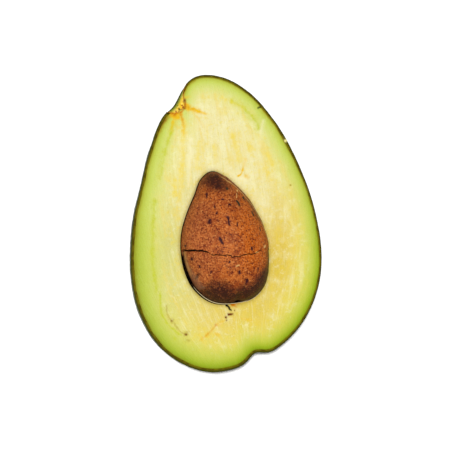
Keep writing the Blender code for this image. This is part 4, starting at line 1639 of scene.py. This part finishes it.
@dataclass
class Studio:
    """A white paper floor, soft light from above and a camera looking down on the cut."""

    sky: float = 0.3
    lamps: tuple[Lamp, ...] = (Lamp("key", 10.4, 193.0, 1.5, 0.05, 23.6),)
    tilt: float = 11.0  # of the camera from straight above
    heading: float = 210.0  # that the camera leans towards
    distance: float = 700.0
    lens: float = 150.0
    sensor: float = 36.0
    floor_reach: float = 3.0  # metres from the middle to an edge
    floor_drop: float = 0.0002  # metres below what the half rests on
    aim: tuple[float, float] = (-0.61, -4.56)  # X, Y at the middle of the picture

    @staticmethod
    def way(tilt: float, heading: float) -> Vector:
        """The direction that leans from straight up by a tilt, towards a heading."""
        lean, turned = math.radians(tilt), math.radians(heading)
        return Vector((math.sin(lean) * math.cos(turned), math.sin(lean) * math.sin(turned), math.cos(lean)))

    def floor(self) -> None:
        """Lay the floor."""
        side = self.floor_reach
        corners = [(-side, -side, 0.0), (side, -side, 0.0), (side, side, 0.0), (-side, side, 0.0)]
        mesh = bpy.data.meshes.new("paper_floor")
        mesh.from_pydata(corners, [], [(0, 1, 2, 3)])
        mesh.materials.append(FloorFinish().material())
        floor = bpy.data.objects.new("paper_floor", mesh)
        floor.location.z = -self.floor_drop
        bpy.context.scene.collection.objects.link(floor)

    def lights(self, middle: Vector) -> None:
        """Set the sky and the soft lights, which face the middle of the cut."""
        world = bpy.data.worlds.new("white_room")
        bpy.context.scene.world = world
        world.use_nodes = True
        sky = world.node_tree.nodes["Background"]
        sky.inputs["Color"].default_value = (1.0, 1.0, 1.0, 1.0)
        sky.inputs["Strength"].default_value = self.sky
        for lamp in self.lamps:
            data = bpy.data.lights.new(lamp.name, "AREA")
            data.shape = "SQUARE"
            data.size = lamp.size
            data.energy = lamp.power
            light = bpy.data.objects.new(lamp.name, data)
            toward = self.way(lamp.tilt, lamp.heading)
            light.location = middle + toward * lamp.distance
            light.rotation_euler = toward.to_track_quat("Z", "Y").to_euler()
            bpy.context.scene.collection.objects.link(light)

    def camera(self, middle: Vector) -> None:
        """Stand the camera over the middle of the cut."""
        back = self.way(self.tilt, self.heading)
        data = bpy.data.cameras.new("camera")
        data.lens = self.lens
        data.sensor_fit = "HORIZONTAL"
        data.sensor_width = self.sensor
        camera = bpy.data.objects.new("camera", data)
        camera.location = middle + back * self.distance * MM
        camera.rotation_mode = "QUATERNION"
        camera.rotation_quaternion = Vector((0.0, 0.0, 1.0)).rotation_difference(back)
        bpy.context.scene.collection.objects.link(camera)
        bpy.context.scene.camera = camera

    def build(self, layout: Layout) -> None:
        """Set up everything that isn't the fruit."""
        middle = Vector((*self.aim, layout.pole[2])) * MM
        self.floor()
        self.lights(middle)
        self.camera(middle)
        bpy.context.scene.view_settings.view_transform = "Standard"


def main() -> None:
    """Build the pieces in order."""
    logging.basicConfig(level=logging.INFO, format="%(name)s: %(message)s")
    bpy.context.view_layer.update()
    layout = Layout.from_frame(COLUMNS)
    peel = Peel()
    builders = (
        peel,
        Flesh(peel),
        Seed(),
        StemButton(),
        SeedCoat("coat_rim", 232.0, 292.0, -2.0, 0.6, 0.10, 0.06, 0.26, 62),
        SeedCoat("coat_wisp", 282.0, 309.0, -2.0, 0.1, 0.14, 0.22, 0.12, 63),
    )
    for builder in builders:
        piece = builder.build(layout)
        log.info("%s: %d points, %d faces", piece.name, len(piece.data.vertices), len(piece.data.polygons))
    Studio().build(layout)


if __name__ == "__main__":
    main()
